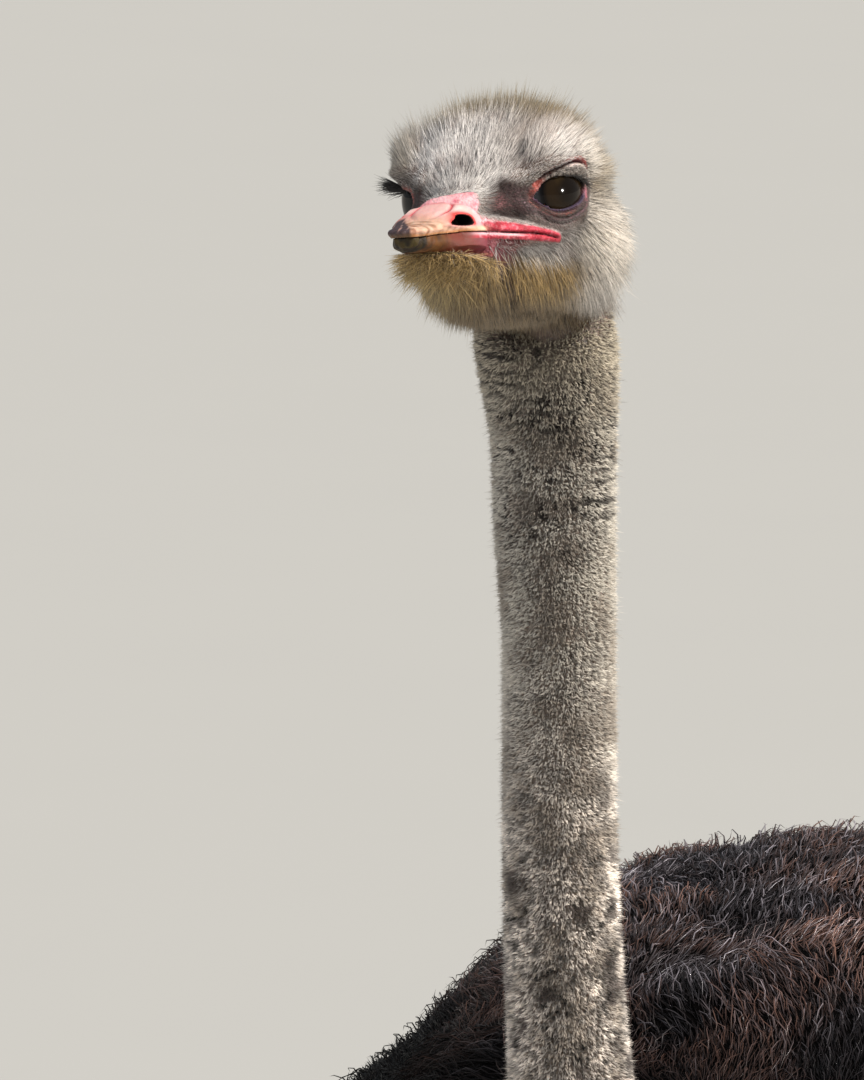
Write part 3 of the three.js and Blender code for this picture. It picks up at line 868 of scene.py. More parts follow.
class Finish:
    """One material: its shader's constants, and the one way that its nodes are made."""

    def __init__(self, name, **constants):
        self.material = bpy.data.materials.new(name)
        self.material.use_nodes = True
        self.tree = self.material.node_tree
        self.shader = self.tree.nodes["Principled BSDF"]
        for socket, value in constants.items():
            self.shader.inputs[socket.replace("_", " ")].default_value = value

    def feed(self, socket, value):
        """Links a level to a socket, or sets the socket to a value."""
        if isinstance(value, Level):
            self.tree.links.new(value.socket, socket)
        else:
            socket.default_value = value

    def node(self, kind, settings=(), sockets=(), out=0):
        """A node of a kind, its settings made first, then its sockets; gives one of its outputs."""
        made = self.tree.nodes.new("ShaderNode" + kind)
        for key, value in dict(settings).items():
            setattr(made, key, value)
        for key, value in dict(sockets).items():
            self.feed(made.inputs[key], value)
        return Level(self, made.outputs[out])

    def place(self):
        """Where each point lies, in metres."""
        return self.node("TexCoord", out=3)

    def tint(self, out=0):
        """The colour painted on the mesh, or its brightness where out is 2."""
        return self.node("Attribute", {"attribute_name": "Tint"}, out=out)

    def grain(self, size, detail=2, stretch=None):
        """Noise with lumps about size millimetres across, stretched by three factors where given."""
        where = self.place()
        if stretch:
            where = self.node("Mapping", {}, {0: where, 3: stretch})
        return self.node("TexNoise", {}, {0: where, 2: 1 / (size * MM), 3: detail})

    def cells(self, size, feature="F1"):
        """Cells about size millimetres across."""
        return self.node("TexVoronoi", {"feature": feature}, {0: self.place(), 2: 1 / (size * MM)})

    def shade(self, colour, amount):
        """The colour made lighter or darker by a level about 1."""
        return self.node("VectorMath", {"operation": "SCALE"}, {0: colour, 3: amount})

    def clamped(self, level, factor, offset):
        """A level times a factor, plus an offset, kept from 0 to 1."""
        settings = {"operation": "MULTIPLY_ADD", "use_clamp": True}
        return self.node("Math", settings, {0: level, 1: factor, 2: offset})

    def give(self, **sockets):
        """Feeds the shader's own sockets, by name."""
        for socket, value in sockets.items():
            self.feed(self.shader.inputs[socket.replace("_", " ")], value)
        return self

    def relief(self, height, depth, strength=1.0):
        """Bumps of so many millimetres."""
        bump = self.node("Bump", {}, {"Strength": strength, "Distance": depth * MM, "Height": height})
        return self.give(Normal=bump)


def skin_finish():
    """Pored, finely lined skin; scaled on the lower legs, and quite matt where it is black."""
    made = Finish("skin", Subsurface_Weight=0.12, Subsurface_Scale=0.004, Specular_IOR_Level=0.45)
    pores, lines = made.cells(1.1), made.grain(2.4, 4)
    freckles = made.grain(0.9, 3)
    plates = made.cells(9, "DISTANCE_TO_EDGE")
    seams = made.clamped(plates, -6, 1)
    height = made.node("SeparateXYZ", {}, {0: made.place()}, out=2)
    scaly = made.clamped(height, -12, 5.6) * seams
    dark = made.clamped(made.tint(2), -14, 1)
    made.give(Base_Color=made.shade(made.tint(), 0.68 + 0.5 * freckles + 0.25 * pores - 0.42 * scaly))
    made.give(Roughness=0.36 + 0.3 * lines + 0.5 * dark, Metallic=dark)
    return made.relief(lines + 0.7 * pores + 0.35 * freckles - 1.6 * scaly, 0.7, 0.8).material


def horn_finish():
    """Fibrous horn for the bill and the nails."""
    made = Finish("bill_horn", Subsurface_Weight=0.08, Subsurface_Scale=0.003, Specular_IOR_Level=0.24)
    fibres, flecks = made.grain(2.2, 4, (1, 0.25, 1)), made.grain(0.7, 3)
    made.give(Base_Color=made.shade(made.tint(), 0.72 + 0.42 * fibres + 0.16 * flecks))
    made.give(Roughness=0.34 + 0.34 * fibres)
    return made.relief(fibres + 0.3 * flecks, 0.5, 0.7).material


def coat_finish(name, roughness, shine, lustre=0.0, gleam=0.0):
    """A strand's finish; a gleam adds a gloss that grows with the strand's own paleness."""
    made = Finish(
        name, Specular_IOR_Level=shine, Sheen_Weight=lustre, Sheen_Roughness=0.4, Coat_Roughness=0.25
    )
    if gleam:
        made.give(Coat_Weight=made.clamped(made.tint(2), gleam, 0.0))
    drift, fleck = made.grain(14, 2), made.grain(0.8, 2)
    made.give(Base_Color=made.shade(made.tint(), 0.62 + 0.38 * drift + 0.38 * fleck))
    made.give(Roughness=roughness - 0.1 + 0.2 * fleck)
    return made.material


def eye_finish():
    """The eye's wet front, with faint rays in the iris."""
    made = Finish("wet_eye", IOR=1.24)
    rays = made.grain(0.6, 3)
    made.give(Base_Color=made.shade(made.tint(), 0.7 + 0.6 * rays))
    made.give(Roughness=0.06 + 0.04 * rays)
    return made.material


# ---------------------------------------------------------------- the coat


def strand_faces(segments):
    """The triangles of one strand, from its rows of three points to the single one at its tip."""
    faces = []
    for step in range(segments):
        for k in range(3):
            a, b = 3 * step + k, 3 * step + (k + 1) % 3
            if step == segments - 1:
                faces.append((a, b, 3 * segments))
            else:
                faces += [(a, b, b + 3), (a, b + 3, a + 3)]
    return np.array(faces)


class Coat:
    """Tapering strands, three-sided, gathered into one joined mesh."""

    def __init__(self, rng):
        self.rng = rng
        self.points, self.faces, self.tints, self.bakes = [], [], [], []
        self.start = 0

    def grow(self, root, aim, fall, length, width, base, tip, bake, segments=2, fullness=0.6, wave=0):
        """Strands from their roots. Aim is where each sets out, fall is how its way changes by the tip,
        wave is how far it winds from side to side, and a low fullness keeps it wide towards the tip."""
        count = len(root)
        length, width = np.broadcast_to(length, count), np.broadcast_to(width, count)
        base, tip = np.broadcast_to(base, (count, 3)), np.broadcast_to(tip, (count, 3))
        cross = unit(np.cross(aim, self.rng.normal(size=(count, 3))))
        other = np.cross(aim, cross)
        rows, tints, bakes = [], [], []
        for step in range(segments + 1):
            t = step / segments
            middle = root + (length * t)[:, None] * (aim + fall * (t / 2))
            phase = 4.6 * t
            middle = middle + wave * (math.sin(phase) * cross + (math.cos(phase) - 1) * other)
            radius = (width / 2 * (1 - t) ** fullness)[:, None]
            corners = 1 if step == segments else 3
            for k in range(corners):
                angle = 2 * math.pi * k / 3
                spread = 0 if corners == 1 else radius * (math.cos(angle) * cross + math.sin(angle) * other)
                rows.append(middle + spread)
                tints.append(base + (tip - base) * t**0.7)
                bakes.append(bake + STRAND_PATCH * np.array([(k + (corners == 1)) / 2, t]))
        self.points.append(np.stack(rows, 1).reshape(-1, 3))
        self.tints.append(np.stack(tints, 1).reshape(-1, 3))
        self.bakes.append(np.stack(bakes, 1).reshape(-1, 2))
        firsts = self.start + len(rows) * np.arange(count)
        self.faces.append((firsts[:, None, None] + strand_faces(segments)).reshape(-1, 3))
        self.start += len(rows) * count

    def piece(self, name, material, slot, nodes=()):
        """Makes one object of all that has grown."""
        shape = Shape(np.vstack(self.points), np.vstack(self.faces))
        piece(name, shape, material, np.vstack(self.tints), np.vstack(self.bakes), nodes)


def around(points, wrap):
    """A place on an unwrap round an upright axis: the turn across, the height up."""
    (x, y), low, high = wrap
    turn = np.arctan2(points[:, 0] - x, -(points[:, 1] - y)) / (2 * math.pi) + 0.5
    height = (points[:, 2] - low) / (high - low)
    return np.stack([turn, height], 1) * (1 - STRAND_PATCH)


def laid(flow, normal, lift):
    """The flow turned to lie along the surface, then raised from it by an angle in degrees."""
    flat = unit(flow - normal * np.einsum("ij,ij->i", flow, normal)[:, None])
    angle = np.radians(np.broadcast_to(lift, len(flow)))[:, None]
    return np.cos(angle) * flat + np.sin(angle) * normal


def gathered(root, size, pull, length, seed):
    """How strands lean together into locks about size across: what is added to their fall."""
    warped = root + size * 0.6 * np.stack([wander(root, size * 2.5, seed + k) for k in range(3)], 1)
    cell = np.floor(warped / size)
    jitter = np.stack([chance(cell, seed + 10 + k) for k in range(3)], 1)
    centre = (cell + 0.25 + 0.5 * jitter) * size - (warped - root)
    strength = 2 * pull / np.maximum(length, 1e-6)
    return strength[:, None] * (centre - root), chance(cell, seed + 20)


def down_density(points):
    """How thickly the head's down grows: not at all on the bare face, and the most under the chin."""
    face = Face(*to_head(points).T)
    front, up, opening = face.front, face.up, face.opening
    eye = rise(2.2, 0.6, opening) * face.outer
    cere = rise(-3, 3, face.cere_line + 5 * wander(points, 3, 21)) * rise(-0.8, 0.2, face.over_jaw)
    jaw = rise(15, 22, front) * rise(-3, -4, face.over_mouth) * rise(-1.5, 0, face.over_jaw)
    mouth = rise(1.2, 1.0, face.lips) * rise(50, 44, front)
    jaw_fold, crease = 0.9 * rise(2.6, 1.4, face.jaw_fold), rise(1.9, 1.1, face.crease) * face.outer
    bare = np.maximum.reduce([eye, mouth, cere, 0.9 * jaw, rise(76, 80, front), jaw_fold, crease])
    thicker = 1 + 1.1 * rise(-20, 10, front) * rise(-34, -24, up)
    return (1 - bare) * thicker * rise(-66, -56, up)


class Downy(Face):
    """A face with the regions where its down is longer, steeper or darker, each from 0 to 1."""

    def __init__(self, place):
        super().__init__(*place.T)
        across, side, front, up = self.across, self.side, self.front, self.up
        self.far = rise(4, -10, across)
        height = up + 0.3 * side - 0.12 * front
        self.crown = rise(27, 37, height + 4 * self.far)
        self.olive = rise(30, 37, height + 3 * self.far)
        self.nape = rise(-14, -38, front) * rise(0, -12, up) * rise(-52, -36, up)
        self.brow = rise(24, 32, side) * rise(0, 10, up) * rise(42, 30, front)
        self.rear = rise(-22, -42, front) * rise(-12, 4, up)
        self.throat = rise(-29, -40, up)
        self.chin = rise(24, 60, front) * self.throat
        self.near_bill = rise(-26, -2, self.cere_line) * rise(-26, -20, up)
        self.far_throat = rise(8, -8, across) * self.throat

    def combed(self, place, rng):
        """Which way each strand lies: away from the bill, then down the cheeks and under the chin."""
        flow = unit(place - np.array([0, -38, -14]))
        flow[:, 2] += -0.9 * rise(0, -26, self.up) + 0.35 * rise(5, 30, self.up)
        flow[:, 1] += 0.25 * rise(20, -10, self.front) * rise(-30, 5, self.up)
        flow = mix(flow, np.array([0, 0.42, -1.0]), 0.85 * self.throat)
        flow[:, 1] -= 0.85 * self.chin
        flow[:, 0] -= 0.8 * rise(4, -14, self.across) * self.throat
        return unit(flow) + 0.15 * rng.normal(size=flow.shape)

    def lengths(self, fringe, rng):
        """How long each strand is, and how steeply it stands, in degrees; the fringe stands out further."""
        front, up, crown, throat = self.front, self.up, self.crown, self.throat
        count = len(up)
        lift = 10 + np.maximum(38 * crown, 34 * self.brow) + 24 * self.far_throat
        lift = lift + 6 * rise(-10, -40, front) + 12 * self.nape
        lift = (lift - 12 * self.near_bill) * rise(-2, 8, self.opening) + 8 + rng.normal(size=count) * 7
        length = 8.5 + 5 * crown + 3 * self.brow + 6 * throat + 3.5 * self.nape - 4.5 * self.near_bill
        low_throat = np.maximum(rise(-44, -62, up), rise(-38, -54, up) * rise(0, 16, self.across))
        length = mix(length, 4.5, low_throat)
        length = length - 7 * rise(40, 74, front) * throat
        short = np.maximum(rise(13, 8.5, self.opening), self.lore * 1.3)
        short = np.maximum(short, 0.95 * rise(2.6, 1.3, self.lips) * rise(-10, 4, front))
        length = mix(length, 1.5, np.clip(short, 0, 1) * rise(12, 20, self.side))
        length = length * (0.7 + 0.5 * rng.random(count))
        if fringe:
            length = length * (1.08 + 0.3 * np.maximum(crown, self.chin) * rng.random(count))
            lift = lift + 8 * np.maximum.reduce([crown, throat, self.brow])
        return length, lift

    def tips(self, place, rng):
        """The colour of each strand's tip: whitish, olive on the crown, tawny under the bill."""
        across, front, up, opening = self.across, self.front, self.up, self.opening
        near, outer = rise(8, 20, across), rise(12, 20, self.side)
        mottle = 0.5 * wander(place, 3.2, 4) + 0.5 * wander(place, 9, 6)
        olive = np.maximum.reduce([self.olive, 0.7 * self.brow * self.far, 0.6 * self.rear])
        under = np.maximum(rise(-28, -34, up), rise(0, -1.5, self.over_jaw) * rise(20, 30, front))
        speckle = hill(front, 12, 24) * rise(-31, -25, up) * rise(-2, -10, up)
        below_lid = rise(8, 4, opening) * 0.85 * outer * rise(0.8, 1.6, self.crease)
        fleck = (rng.random(len(up)) < 0.28) * rise(8, 6, opening) * rise(-1, 1, up) * outer
        dusk = np.maximum(blotch((front, -13, 9), (up, -14, 6)), blotch((front, -21, 7), (up, -1, 5)))
        by_lips = hill(self.lips, 1.35, 0.3) * rise(0, 1, self.over_mouth) * rise(0, 10, front)
        return painted(
            mix(rgb(255, 250, 246), rgb(196, 178, 170), rise(0.0, 0.9, mottle)),
            # Whiter on the lower cheeks: partly the down's own colour, partly painted sunlight.
            (rgb(252, 242, 228), 0.8 * rise(6, -20, front) * rise(-46, -30, up)),
            (rgb(178, 165, 156), 0.9 * blotch((across, 26, 15), (up, 24, 13))),
            (rgb(116, 100, 84), 0.85 * blotch((front, -14, 10), (up, -34, 8)) * near),
            (rgb(168, 150, 126), 0.7 * blotch((front, -34, 9), (up, 2, 8)) * near),
            (rgb(116, 98, 56), 0.88 * olive),
            (rgb(214, 180, 120), under * rise(-34, -4, front)),
            (rgb(206, 190, 140), self.far_throat * 0.6),
            # Browner and darker low on the throat: partly the down's own colour, partly painted shade under
            # the head.
            (rgb(152, 132, 102), rise(-35, -50, up)),
            (rgb(128, 112, 106), speckle * 0.85),
            (rgb(58, 44, 42), rise(0.12, 0.5, self.lore) * outer),
            (rgb(62, 52, 46), below_lid),
            (rgb(214, 204, 196), 0.8 * fleck),
            (rgb(84, 70, 60), dusk * outer),
            (rgb(238, 228, 224), by_lips),
        )

    def brightness(self, tone, rng):
        """How light each strand is: about one in five is dark, as painted shade between the strands, fewer
        of them on the cheek; the cheeks and the far side above the eyes are made lighter as painted light.
        """
        count = len(self.up)
        cheek = blotch((self.front, -38, 24), (self.up, -22, 17)) * rise(8, 20, self.across)
        cheek = np.maximum(cheek, 1.1 * rise(4, -14, self.across) * rise(-2, 8, self.up))
        # Dark strands stand in for the shadows between them, and the cheeks are brightened: painted shade
        # and painted light.
        dark = np.where(rng.random(count) < 0.22 * (1 - 0.6 * cheek), 0.28, 1.0) * (1 + 0.18 * cheek)
        return (dark * (0.74 + 0.3 * tone + 0.24 * rng.random(count)))[:, None]


def head_coat(shape, rng):
    """The stiff fine down of the head, longer on the crown, the brows and under the chin."""
    finish = coat_finish("head_down", 0.55, 0.35, 0.1)
    for number, (name, count, segments) in enumerate(HEAD_DOWN):
        root, normal = shape.scatter(count, down_density, rng)
        place, out = to_head(root), normal @ TURN
        face = Downy(place)
        flow = face.combed(place, rng)
        length, lift = face.lengths(name == "down_fringe", rng)
        aim = laid(flow, out, np.clip(lift, 4, 84))
        fall = 0.14 * rng.normal(size=aim.shape)
        fall[:, 2] -= 0.4 * rise(10, -20, face.up)
        clump, tone = gathered(place, 2.6, 0.22 + 0.4 * face.crown, length, 5 + number)
        fall = fall + clump
        width = 0.31 * np.clip(length / 8, 0.7, 1.15)
        tip = face.tips(place, rng)
        base = mix(tip, rgb(70, 56, 48), 0.5)
        # Each strand's painted shade and painted light.
        bright = face.brightness(tone, rng)
        coat = Coat(rng)
        bake = around(place, HEAD_WRAP)
        coat.grow(
            root, aim @ TURN.T, fall @ TURN.T, length, width, base * bright, tip * bright, bake, segments
        )
        coat.piece(name, finish, "down")


def neck_tufts(points):
    """The neck's tufts: how far into a parting between two each place is, which sets the painted shade
    there and in the creases near the head, and each tuft's own tone.
    """
    pull, tone = gathered(points, TUFT_SIZE, 0.5, np.ones(len(points)), TUFT_SEED)
    apart = np.linalg.norm(pull, axis=1) / TUFT_SIZE
    level = points[:, 2]
    creases = 0.5 + 0.5 * np.sin(level / 1.1 + 3.0 * wander(points, 11, 38) + 1.2 * wander(points, 4, 39))
    creases = rise(0.72, 0.94, creases) * rise(1570, 1600, level)
    creases = creases * rise(0.1, 0.6, 0.5 + wander(points, 26, 42))
    deep = 0.62 + 0.38 * rise(1540, 1590, level)
    patchy = rise(-0.5, 0.5, wander(points, 9, 35))
    # Partings between tufts and creases near the head, deeper towards the top: painted shade, which also
    # shortens the strands there.
    return np.maximum(rise(0.5, 0.72, apart) * deep * (0.45 + 0.55 * patchy), 0.9 * creases), tone


def neck_density(points):
    """How thickly the neck's down grows: more at the front, none under the head or on the trunk."""
    level = points[:, 2]
    forward = 1 + 0.9 * rise(40, -40, points[:, 1] + 600)
    return rise(1692, 1668, level) * forward * rise(1210, 1300, level)


def neck_coat(shape, rng):
    """The neck's short standing down: small tufts, pale at their tips, with painted shade in the partings
    between them.
    """
    finish = coat_finish("neck_down", 0.7, 0.25, 0.15)
    count = NECK_STRANDS
    for name, width in NECK_DOWN:
        fine = name == "neck_down_fine"
        root, normal = shape.scatter(count, neck_density, rng)
        level = root[:, 2]
        parting_shade, tone = neck_tufts(root)
        flow = np.array([0, 0.1, -1.0]) + 0.9 * rng.normal(size=root.shape)
        lift = 76 + 9 * rng.normal(size=count) - 46 * rise(1290, 1200, level)
        length = (2.8 + 1.0 * fine - 1.1 * parting_shade) * (0.78 + 0.36 * rng.random(count))
        length = length * (1 + 1.2 * rise(1290, 1230, level))
        if fine:
            length = length + 2.6 * (rng.random(count) > 0.97)
        aim = laid(flow, normal, np.clip(lift, 12, 90))
        clump, _ = gathered(root, TUFT_SIZE, 0.55, length, TUFT_SEED)
        fall = clump + 0.25 * rng.normal(size=root.shape) + np.array([0, 0, -0.15])
        low_down = rise(1520, 1400, level)
        drab = rise(0.1, 0.5, wander(root, 12, 33) + 0.9 * (tone - 0.5))
        spot = rise(0.34, 0.5, wander(root, 13, 34) + 0.7 * (tone - 0.5)) * low_down
        tip = painted(
            mix(rgb(232, 224, 210), rgb(250, 238, 226), rise(1560, 1400, level)),
            (rgb(170, 158, 144), 0.8 * drab),
            (rgb(66, 58, 56), 0.9 * spot),
            (rgb(206, 194, 172), rise(1600, 1680, level)),
            (rgb(26, 21, 21), rise(1300, 1250, level)),
        )
        # Strands in the partings are darkened at root and tip: painted shade.
        base = mix(mix(rgb(72, 64, 60), tip, 0.45), rgb(26, 22, 21), parting_shade)
        tip = mix(tip, rgb(50, 44, 42), parting_shade)
        uneven = low_down * (1.1 * tone - 0.5 + 0.6 * wander(root, 6, 44))
        bright = (0.66 + 0.36 * tone + 0.3 * rng.random(count) + uneven)[:, None]
        coat = Coat(rng)
        coat.grow(root, aim, fall, length, width, base * bright, tip * bright, around(root, NECK_WRAP), 1)
        coat.piece(name, finish, "down")


def body_flow(place, normal):
    """How the plumes lie: down the breast, back along the flanks and over the back, in turning locks."""
    breast = rise(0.2, 0.9, -normal[:, 1])
    over_top = rise(0.45, 0.95, normal[:, 2])
    sideways = 0.25 * np.sign(place[:, 0]) * (1 - over_top)
    flow = np.stack([sideways, 1.0 - 1.1 * breast, -0.55 - 0.6 * breast + 0.45 * over_top], 1)
    swirl = np.stack([wander(place, 46, 60 + k) for k in range(3)], 1)
    return unit(flow) + 1.1 * swirl


def shoulder(y, z):
    """1 over the breast, the shoulders and the front of the back, where the plumage is dense and curly."""
    return rise(300, 200, y) * rise(1070, 1170, z)


def body_coat(torso, neck, rng):
    """The black plumage of the trunk, the wings and the neck's foot: curls in front, long plumes behind."""

    def covered(points):
        return rise(800, 830, points[:, 2]) * rise(570, 530, points[:, 1])

    def foot_share(points):
        return rise(1305, 1245, points[:, 2])

    def curl_share(points):
        dense = 0.4 + 0.6 * rise(140, 90, points[:, 0])
        return covered(points) * (0.05 + shoulder(*points.T[1:]) * dense)

    def long_share(points):
        return covered(points) * (1 - rise(0.05, 0.5, shoulder(*points.T[1:])))

    finish = coat_finish("black_plumage", 0.45, 0.1, gleam=7.0)
    # Each layer: its name, how many strands, lengths to each, their length, width, slope and inward curl,
    # and where they grow.
    layers = (
        ("plumage_soft", 65000, 1, 14, 0.75, 26, 0.4, curl_share, torso),
        ("plumage_curls", 13000, 3, 24, 0.95, 40, 0.9, curl_share, torso),
        ("plumage_long", 16000, 2, 66, 2.9, 15, 0.5, long_share, torso),
        ("plumage_neck", 13000, 1, 17, 0.9, 22, 0.3, foot_share, neck),
    )
    for name, count, segments, long, width, slope, inward, density, shape in layers:
        curly = name == "plumage_curls"
        root, normal = shape.scatter(count, density, rng)
        high = root[:, 2]
        near = shoulder(*root.T[1:])
        size = mix(1, 0.5, rise(0, 0.4, near)) if name == "plumage_long" else 1 + 0.9 * rise(0.6, 0.0, near)
        length = long * size * (0.65 + 0.5 * rng.random(count))
        flow = body_flow(root, normal) + 0.16 * rng.normal(size=root.shape)
        aim = laid(flow, normal, np.clip(slope + 7 * rng.normal(size=count), 4, 70))
        clump, tone = gathered(root, 9.0, 0.5, length, 80)
        fall = clump - inward * normal + 0.5 * unit(flow) * curly
        fall = fall + 0.16 * rng.normal(size=root.shape) + np.array([0, 0, -0.2])
        brown = rise(-0.6, 0.4, wander(root, 42, 90) + 0.4 * wander(root, 15, 91)) * rise(1210, 1300, high)
        tip = mix(rgb(30, 25, 26), rgb(104, 74, 62), brown)
        glint = rng.random(count) ** 3 * rise(1235, 1305, high) + 0.3 * (rng.random(count) > 0.985)
        tip = mix(tip, rgb(140, 134, 142), 0.85 * glint)
        lit = 0.3 + 1.6 * rise(1225, 1310, high)
        bright = (lit * (0.4 + 0.7 * tone + 0.4 * rng.random(count)))[:, None]
        base = rgb(12, 9, 10) * bright
        coat = Coat(rng)
        bake = around(root, BODY_WRAP)
        wave = 1.6 if curly else 0
        coat.grow(root, aim, fall, length, width * size, base, tip * bright, bake, segments, 0.45, wave)
        coat.piece(name, finish, "plume")


def plume(coat, root, aim, fall, length, vane, pale, barbs):
    """One soft plume: a shaft, and barbs that droop from both its sides."""
    rng = coat.rng
    shade = 0.85 + 0.25 * rng.random()
    shaft, shaft_width, barb_width = rgb(206, 192, 168), 4.2, 2.6
    bake = around(root[None], BODY_WRAP)
    coat.grow(root[None], aim[None], fall[None], length, shaft_width, shaft, shaft, bake, 6, 0.5)
    for side in (-1, 1):
        t = np.linspace(0.08, 0.99, barbs) + rng.normal(size=barbs) * 0.006
        middle = root + (length * t)[:, None] * (aim + fall * (t / 2)[:, None])
        along = unit(aim + fall * t[:, None])
        across = unit(np.cross(along, [0.15, 0.1, 1.0])) * side
        out = unit(across + 0.75 * along + 0.16 * rng.normal(size=across.shape))
        outline = np.sin(np.pi * np.clip(t * 0.86 + 0.1, 0, 1)) ** 0.6
        reach = vane * outline * (0.8 + 0.35 * rng.random(barbs))
        droop = np.array([0, 0.1, -0.9]) + 0.25 * rng.normal(size=across.shape)
        tip = pale * shade * (0.82 + 0.25 * rng.random((barbs, 1)))
        bake = around(middle, BODY_WRAP)
        coat.grow(middle, out, droop, reach, barb_width, tip * 0.82, tip, bake, 2, 0.35)


def wing_plumes(name, sign, finish, rng):
    """White plumes in rows along the rear of a folded wing."""
    vane, barbs, lowest = 46, 64, 968
    coat = Coat(rng)
    for row, (count, high, long) in enumerate(WING_ROWS):
        for k in range(count):
            share = (k + 0.5 * (row % 2)) / (count - 0.5)
            across = sign * (248 - 60 * share**2 - 8 * row)
            root = np.array([across, -40 + 440 * share, lowest + high + 70 * share])
            root = root + rng.normal(size=3) * 6
            aim = unit(np.array([sign * (0.12 - 0.24 * share), 0.9, -0.35 - 0.15 * (1 - share)]))
            fall = np.array([-sign * 0.22, -0.15, -0.75]) + 0.1 * rng.normal(size=3)
            length = long * (0.75 + 0.25 * share + 0.1 * rng.random())
            plume(coat, root, aim, fall, length, vane, rgb(*PLUME_WHITE), barbs)
    coat.piece("wing_plumes_" + name, finish, "white_plume", nodes=["wing_" + name])


def tail_plumes(finish, rng):
    """The tail: rows of cream plumes, the lower ones hanging."""
    vane, barbs = 54, 58
    coat = Coat(rng)
    for count, spread, back, level, rising, long in TAIL_ROWS:
        for k in range(count):
            turn = (2 * k / (count - 1) - 1) + 0.12 * rng.normal()
            root = np.array([spread * turn, back - 22 * turn**2, level - 30 * turn**2 + 6 * rng.normal()])
            aim = unit(np.array([0.5 * turn, 0.95, rising + 0.08 * rng.normal()]))
            fall = np.array([0.12 * turn, -0.3, -0.95])
            tone = mix(rgb(*PLUME_WHITE), rgb(*PLUME_CREAM), 0.25 + 0.5 * rng.random())
            plume(coat, root, aim, fall, long * (0.9 + 0.15 * rng.random()), vane, tone, barbs)
    coat.piece("tail_plumes", finish, "white_plume", nodes=["tail"])


# ---------------------------------------------------------------- floor, light and camera


def stage_and_camera():
    """A pale floor, a sunlike key from the upper right with a rim and a fill light, and the view."""
    floor_size, distance, lamp_distance = 240, 6.5, 4.5
    bpy.ops.mesh.primitive_plane_add(size=floor_size, location=(0, 0, 0))
    floor = bpy.context.object
    floor.name = "floor"
    plain = Finish("floor_paint", Base_Color=(0.5, 0.495, 0.475, 1), Specular_IOR_Level=0.2)
    plain.give(Roughness=0.7 + 0.15 * plain.grain(400))
    floor.data.materials.append(plain.material)

    world = bpy.data.worlds.new("studio")
    bpy.context.scene.world = world
    world.use_nodes = True
    world.node_tree.nodes["Background"].inputs[0].default_value = (0.9, 0.95, 1.0, 1)
    world.node_tree.nodes["Background"].inputs[1].default_value = 0.3

    azimuth, elevation = math.radians(14), math.radians(7.5)
    right = Vector((math.cos(azimuth), math.sin(azimuth), 0))
    level_back = Vector((math.sin(azimuth), -math.cos(azimuth), 0))
    back = level_back * math.cos(elevation) + Vector((0, 0, math.sin(elevation)))
    over = right.cross(-back)
    head_at = Vector(HEAD_ORIGIN) * MM
    aim = head_at - right * 0.0244 - over * 0.1604
    camera = bpy.data.objects.new("camera", bpy.data.cameras.new("camera"))
    bpy.context.scene.collection.objects.link(camera)
    camera.data.sensor_width, camera.data.lens = 36, 470.2
    camera.data.clip_end = 500
    camera.location = aim + back * distance
    camera.rotation_euler = (-back).to_track_quat("-Z", "Y").to_euler()
    bpy.context.scene.camera = camera

    for name, kind, way, power, size, tone in (
        ("key", "SUN", 0.6 * right + 0.68 * over + 0.42 * back, 4.4, 7, (1.0, 0.95, 0.88)),
        ("rim", "AREA", 0.958 * right + 0.094 * over + 0.2 * back, 90, 0.24, (1.0, 0.96, 0.9)),
        ("fill", "AREA", -0.7 * right + 0.35 * over + 0.7 * back, 62, 2.4, (0.93, 0.95, 1.0)),
    ):
        lamp = bpy.data.lights.new(name, kind)
        lamp.energy, lamp.color = power, tone
        if kind == "SUN":
            lamp.angle = math.radians(size)
        else:
            lamp.shape, lamp.size = "DISK", size
        light = bpy.data.objects.new(name, lamp)
        bpy.context.scene.collection.objects.link(light)
        light.location = head_at + way.normalized() * lamp_distance
        light.rotation_euler = way.to_track_quat("Z", "Y").to_euler()
    bpy.context.scene.view_settings.view_transform = "Standard"


# ---------------------------------------------------------------- the bird


def model_body():
    """The flesh under the plumage, the neck's and the two legs', each as its own closed shape."""
    trunk = Clay(
        ["trunk", "wing_left", "wing_right", "tail"], (-330, -450, 760), (330, 800, 1350), step=12,
        reach=60, bridge=1, rounding=16,
    )
    neck_root = np.exp(-(trunk.x**2 + (trunk.y + 400) ** 2 + (trunk.z - 1130) ** 2) / 140**2)
    thin = np.maximum(shoulder(trunk.y, trunk.z), 0.95 * neck_root)
    inset = 27 - 21 * thin + 48 * rise(500, 590, trunk.y)
    trunk.field = (trunk.field + inset).astype(np.float32)
    torso = trunk.shape()
    lumps = 5 * wander(torso.points, 46, 70) + 2.5 * wander(torso.points, 24, 71)
    torso.points = torso.points + torso.normals() * lumps[:, None]
    neck = Clay(
        ["neck_upper", "neck_middle", "neck_lower"], (-76, -660, 1040), (76, -330, 1700), step=4,
        reach=16, bridge=1, rounding=6,
    )
    fuller = 4.5 * rise(1520, 1600, neck.z) * rise(8, -22, neck.x)
    neck.field = (neck.field + 3.4 - fuller).astype(np.float32)
    shapes = [torso, neck.shape()]
    for name in ("left", "right"):
        nodes = [f"{part}_{name}" for part in LEG_NODES]
        boxes = [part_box(node) for node in nodes]
        low = np.min([box[0] for box in boxes], axis=0) / MM - 12
        high = np.max([box[1] for box in boxes], axis=0) / MM + 12
        leg = Clay(nodes, low, high, step=4.4, reach=14, bridge=1, rounding=5)
        leg.field = leg.field + np.float32(0.8)
        shapes.append(leg.shape())
    return shapes


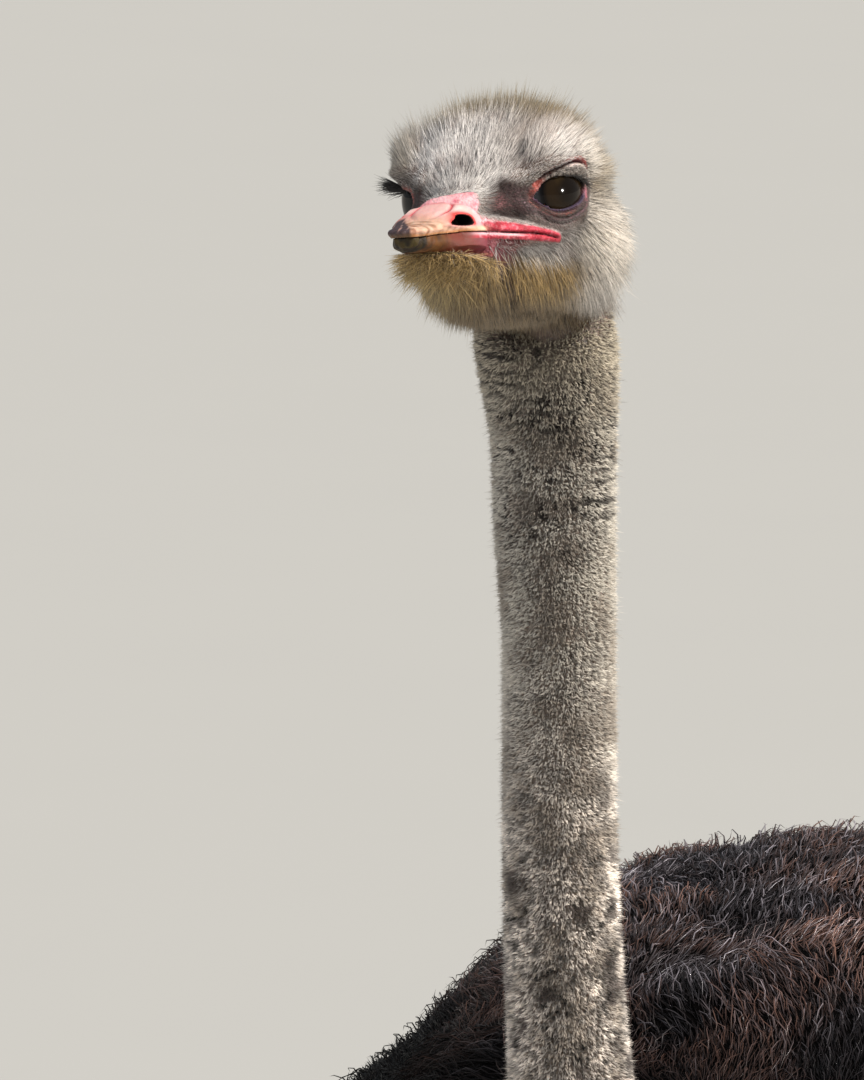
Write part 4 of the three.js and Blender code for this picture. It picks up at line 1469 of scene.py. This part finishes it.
def model_nail(node):
    """The blunt nail of an inner toe."""
    low, high = (np.array(corner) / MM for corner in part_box(node))
    clay = Clay([node], low - 4, high + 4, step=1.2, reach=8, rounding=1.2)
    clay.field = clay.field + np.float32(0.1)
    return clay.shape()


def nail_tint(points):
    """Dark horn, paler along its length in streaks."""
    streak = wander(points * np.array([1, 0.2, 1]), 2.4, 61)
    return mix(rgb(66, 58, 52), rgb(112, 98, 84), rise(-0.2, 0.8, streak))


def united(shapes):
    """Closed shapes joined into one closed surface."""
    objects = []
    for shape in shapes:
        mesh = bpy.data.meshes.new("part")
        mesh.from_pydata(shape.points.tolist(), [], shape.faces.tolist())
        objects.append(bpy.data.objects.new("part", mesh))
        bpy.context.scene.collection.objects.link(objects[-1])
    whole, *others = objects
    bpy.context.view_layer.objects.active = whole
    for other in others:
        union = whole.modifiers.new("union", "BOOLEAN")
        union.operation, union.object, union.solver = "UNION", other, "MANIFOLD"
        bpy.ops.object.modifier_apply(modifier=union.name)
    made = read_back(whole)
    for each in objects:
        bpy.data.objects.remove(each)
    return made


rng = np.random.default_rng(seed=7)
head = model_head()
head = thinned(head, covered_share(head.points), share=0.38)
torso, neck, *legs = model_body()
flesh = united([torso, neck, *legs, head])
piece("skin", flesh, skin_finish(), skin_tint(flesh.points), nodes=SKIN_NODES)
horn = horn_finish()
for name, half, tint in zip(("upper", "lower"), model_bill(), (upper_bill_tint, lower_bill_tint)):
    piece(f"bill_{name}_horn", half, horn, tint(half.points), nodes=["bill_" + name])
for name in ("left", "right"):
    nail = model_nail("claw_" + name)
    piece("nail_" + name, nail, horn, nail_tint(nail.points), nodes=["claw_" + name])
eye_gloss = eye_finish()
for name, sign in SIDES:
    eye = model_eye("eyeball_" + name, sign)
    eye.data.materials.append(eye_gloss)
    settle(eye, ["eye_" + name])
head_coat(head, rng)
lash = coat_finish("lash", 0.5, 0.4)
for name, sign in SIDES:
    lashes(sign, rng).piece("lashes_" + name, lash, "plume")
neck_coat(neck, rng)
body_coat(torso, neck, rng)
white = coat_finish("white_plumage", 0.6, 0.25, 0.2)
for name, sign in SIDES:
    wing_plumes(name, sign, white, rng)
tail_plumes(white, rng)
stage_and_camera()
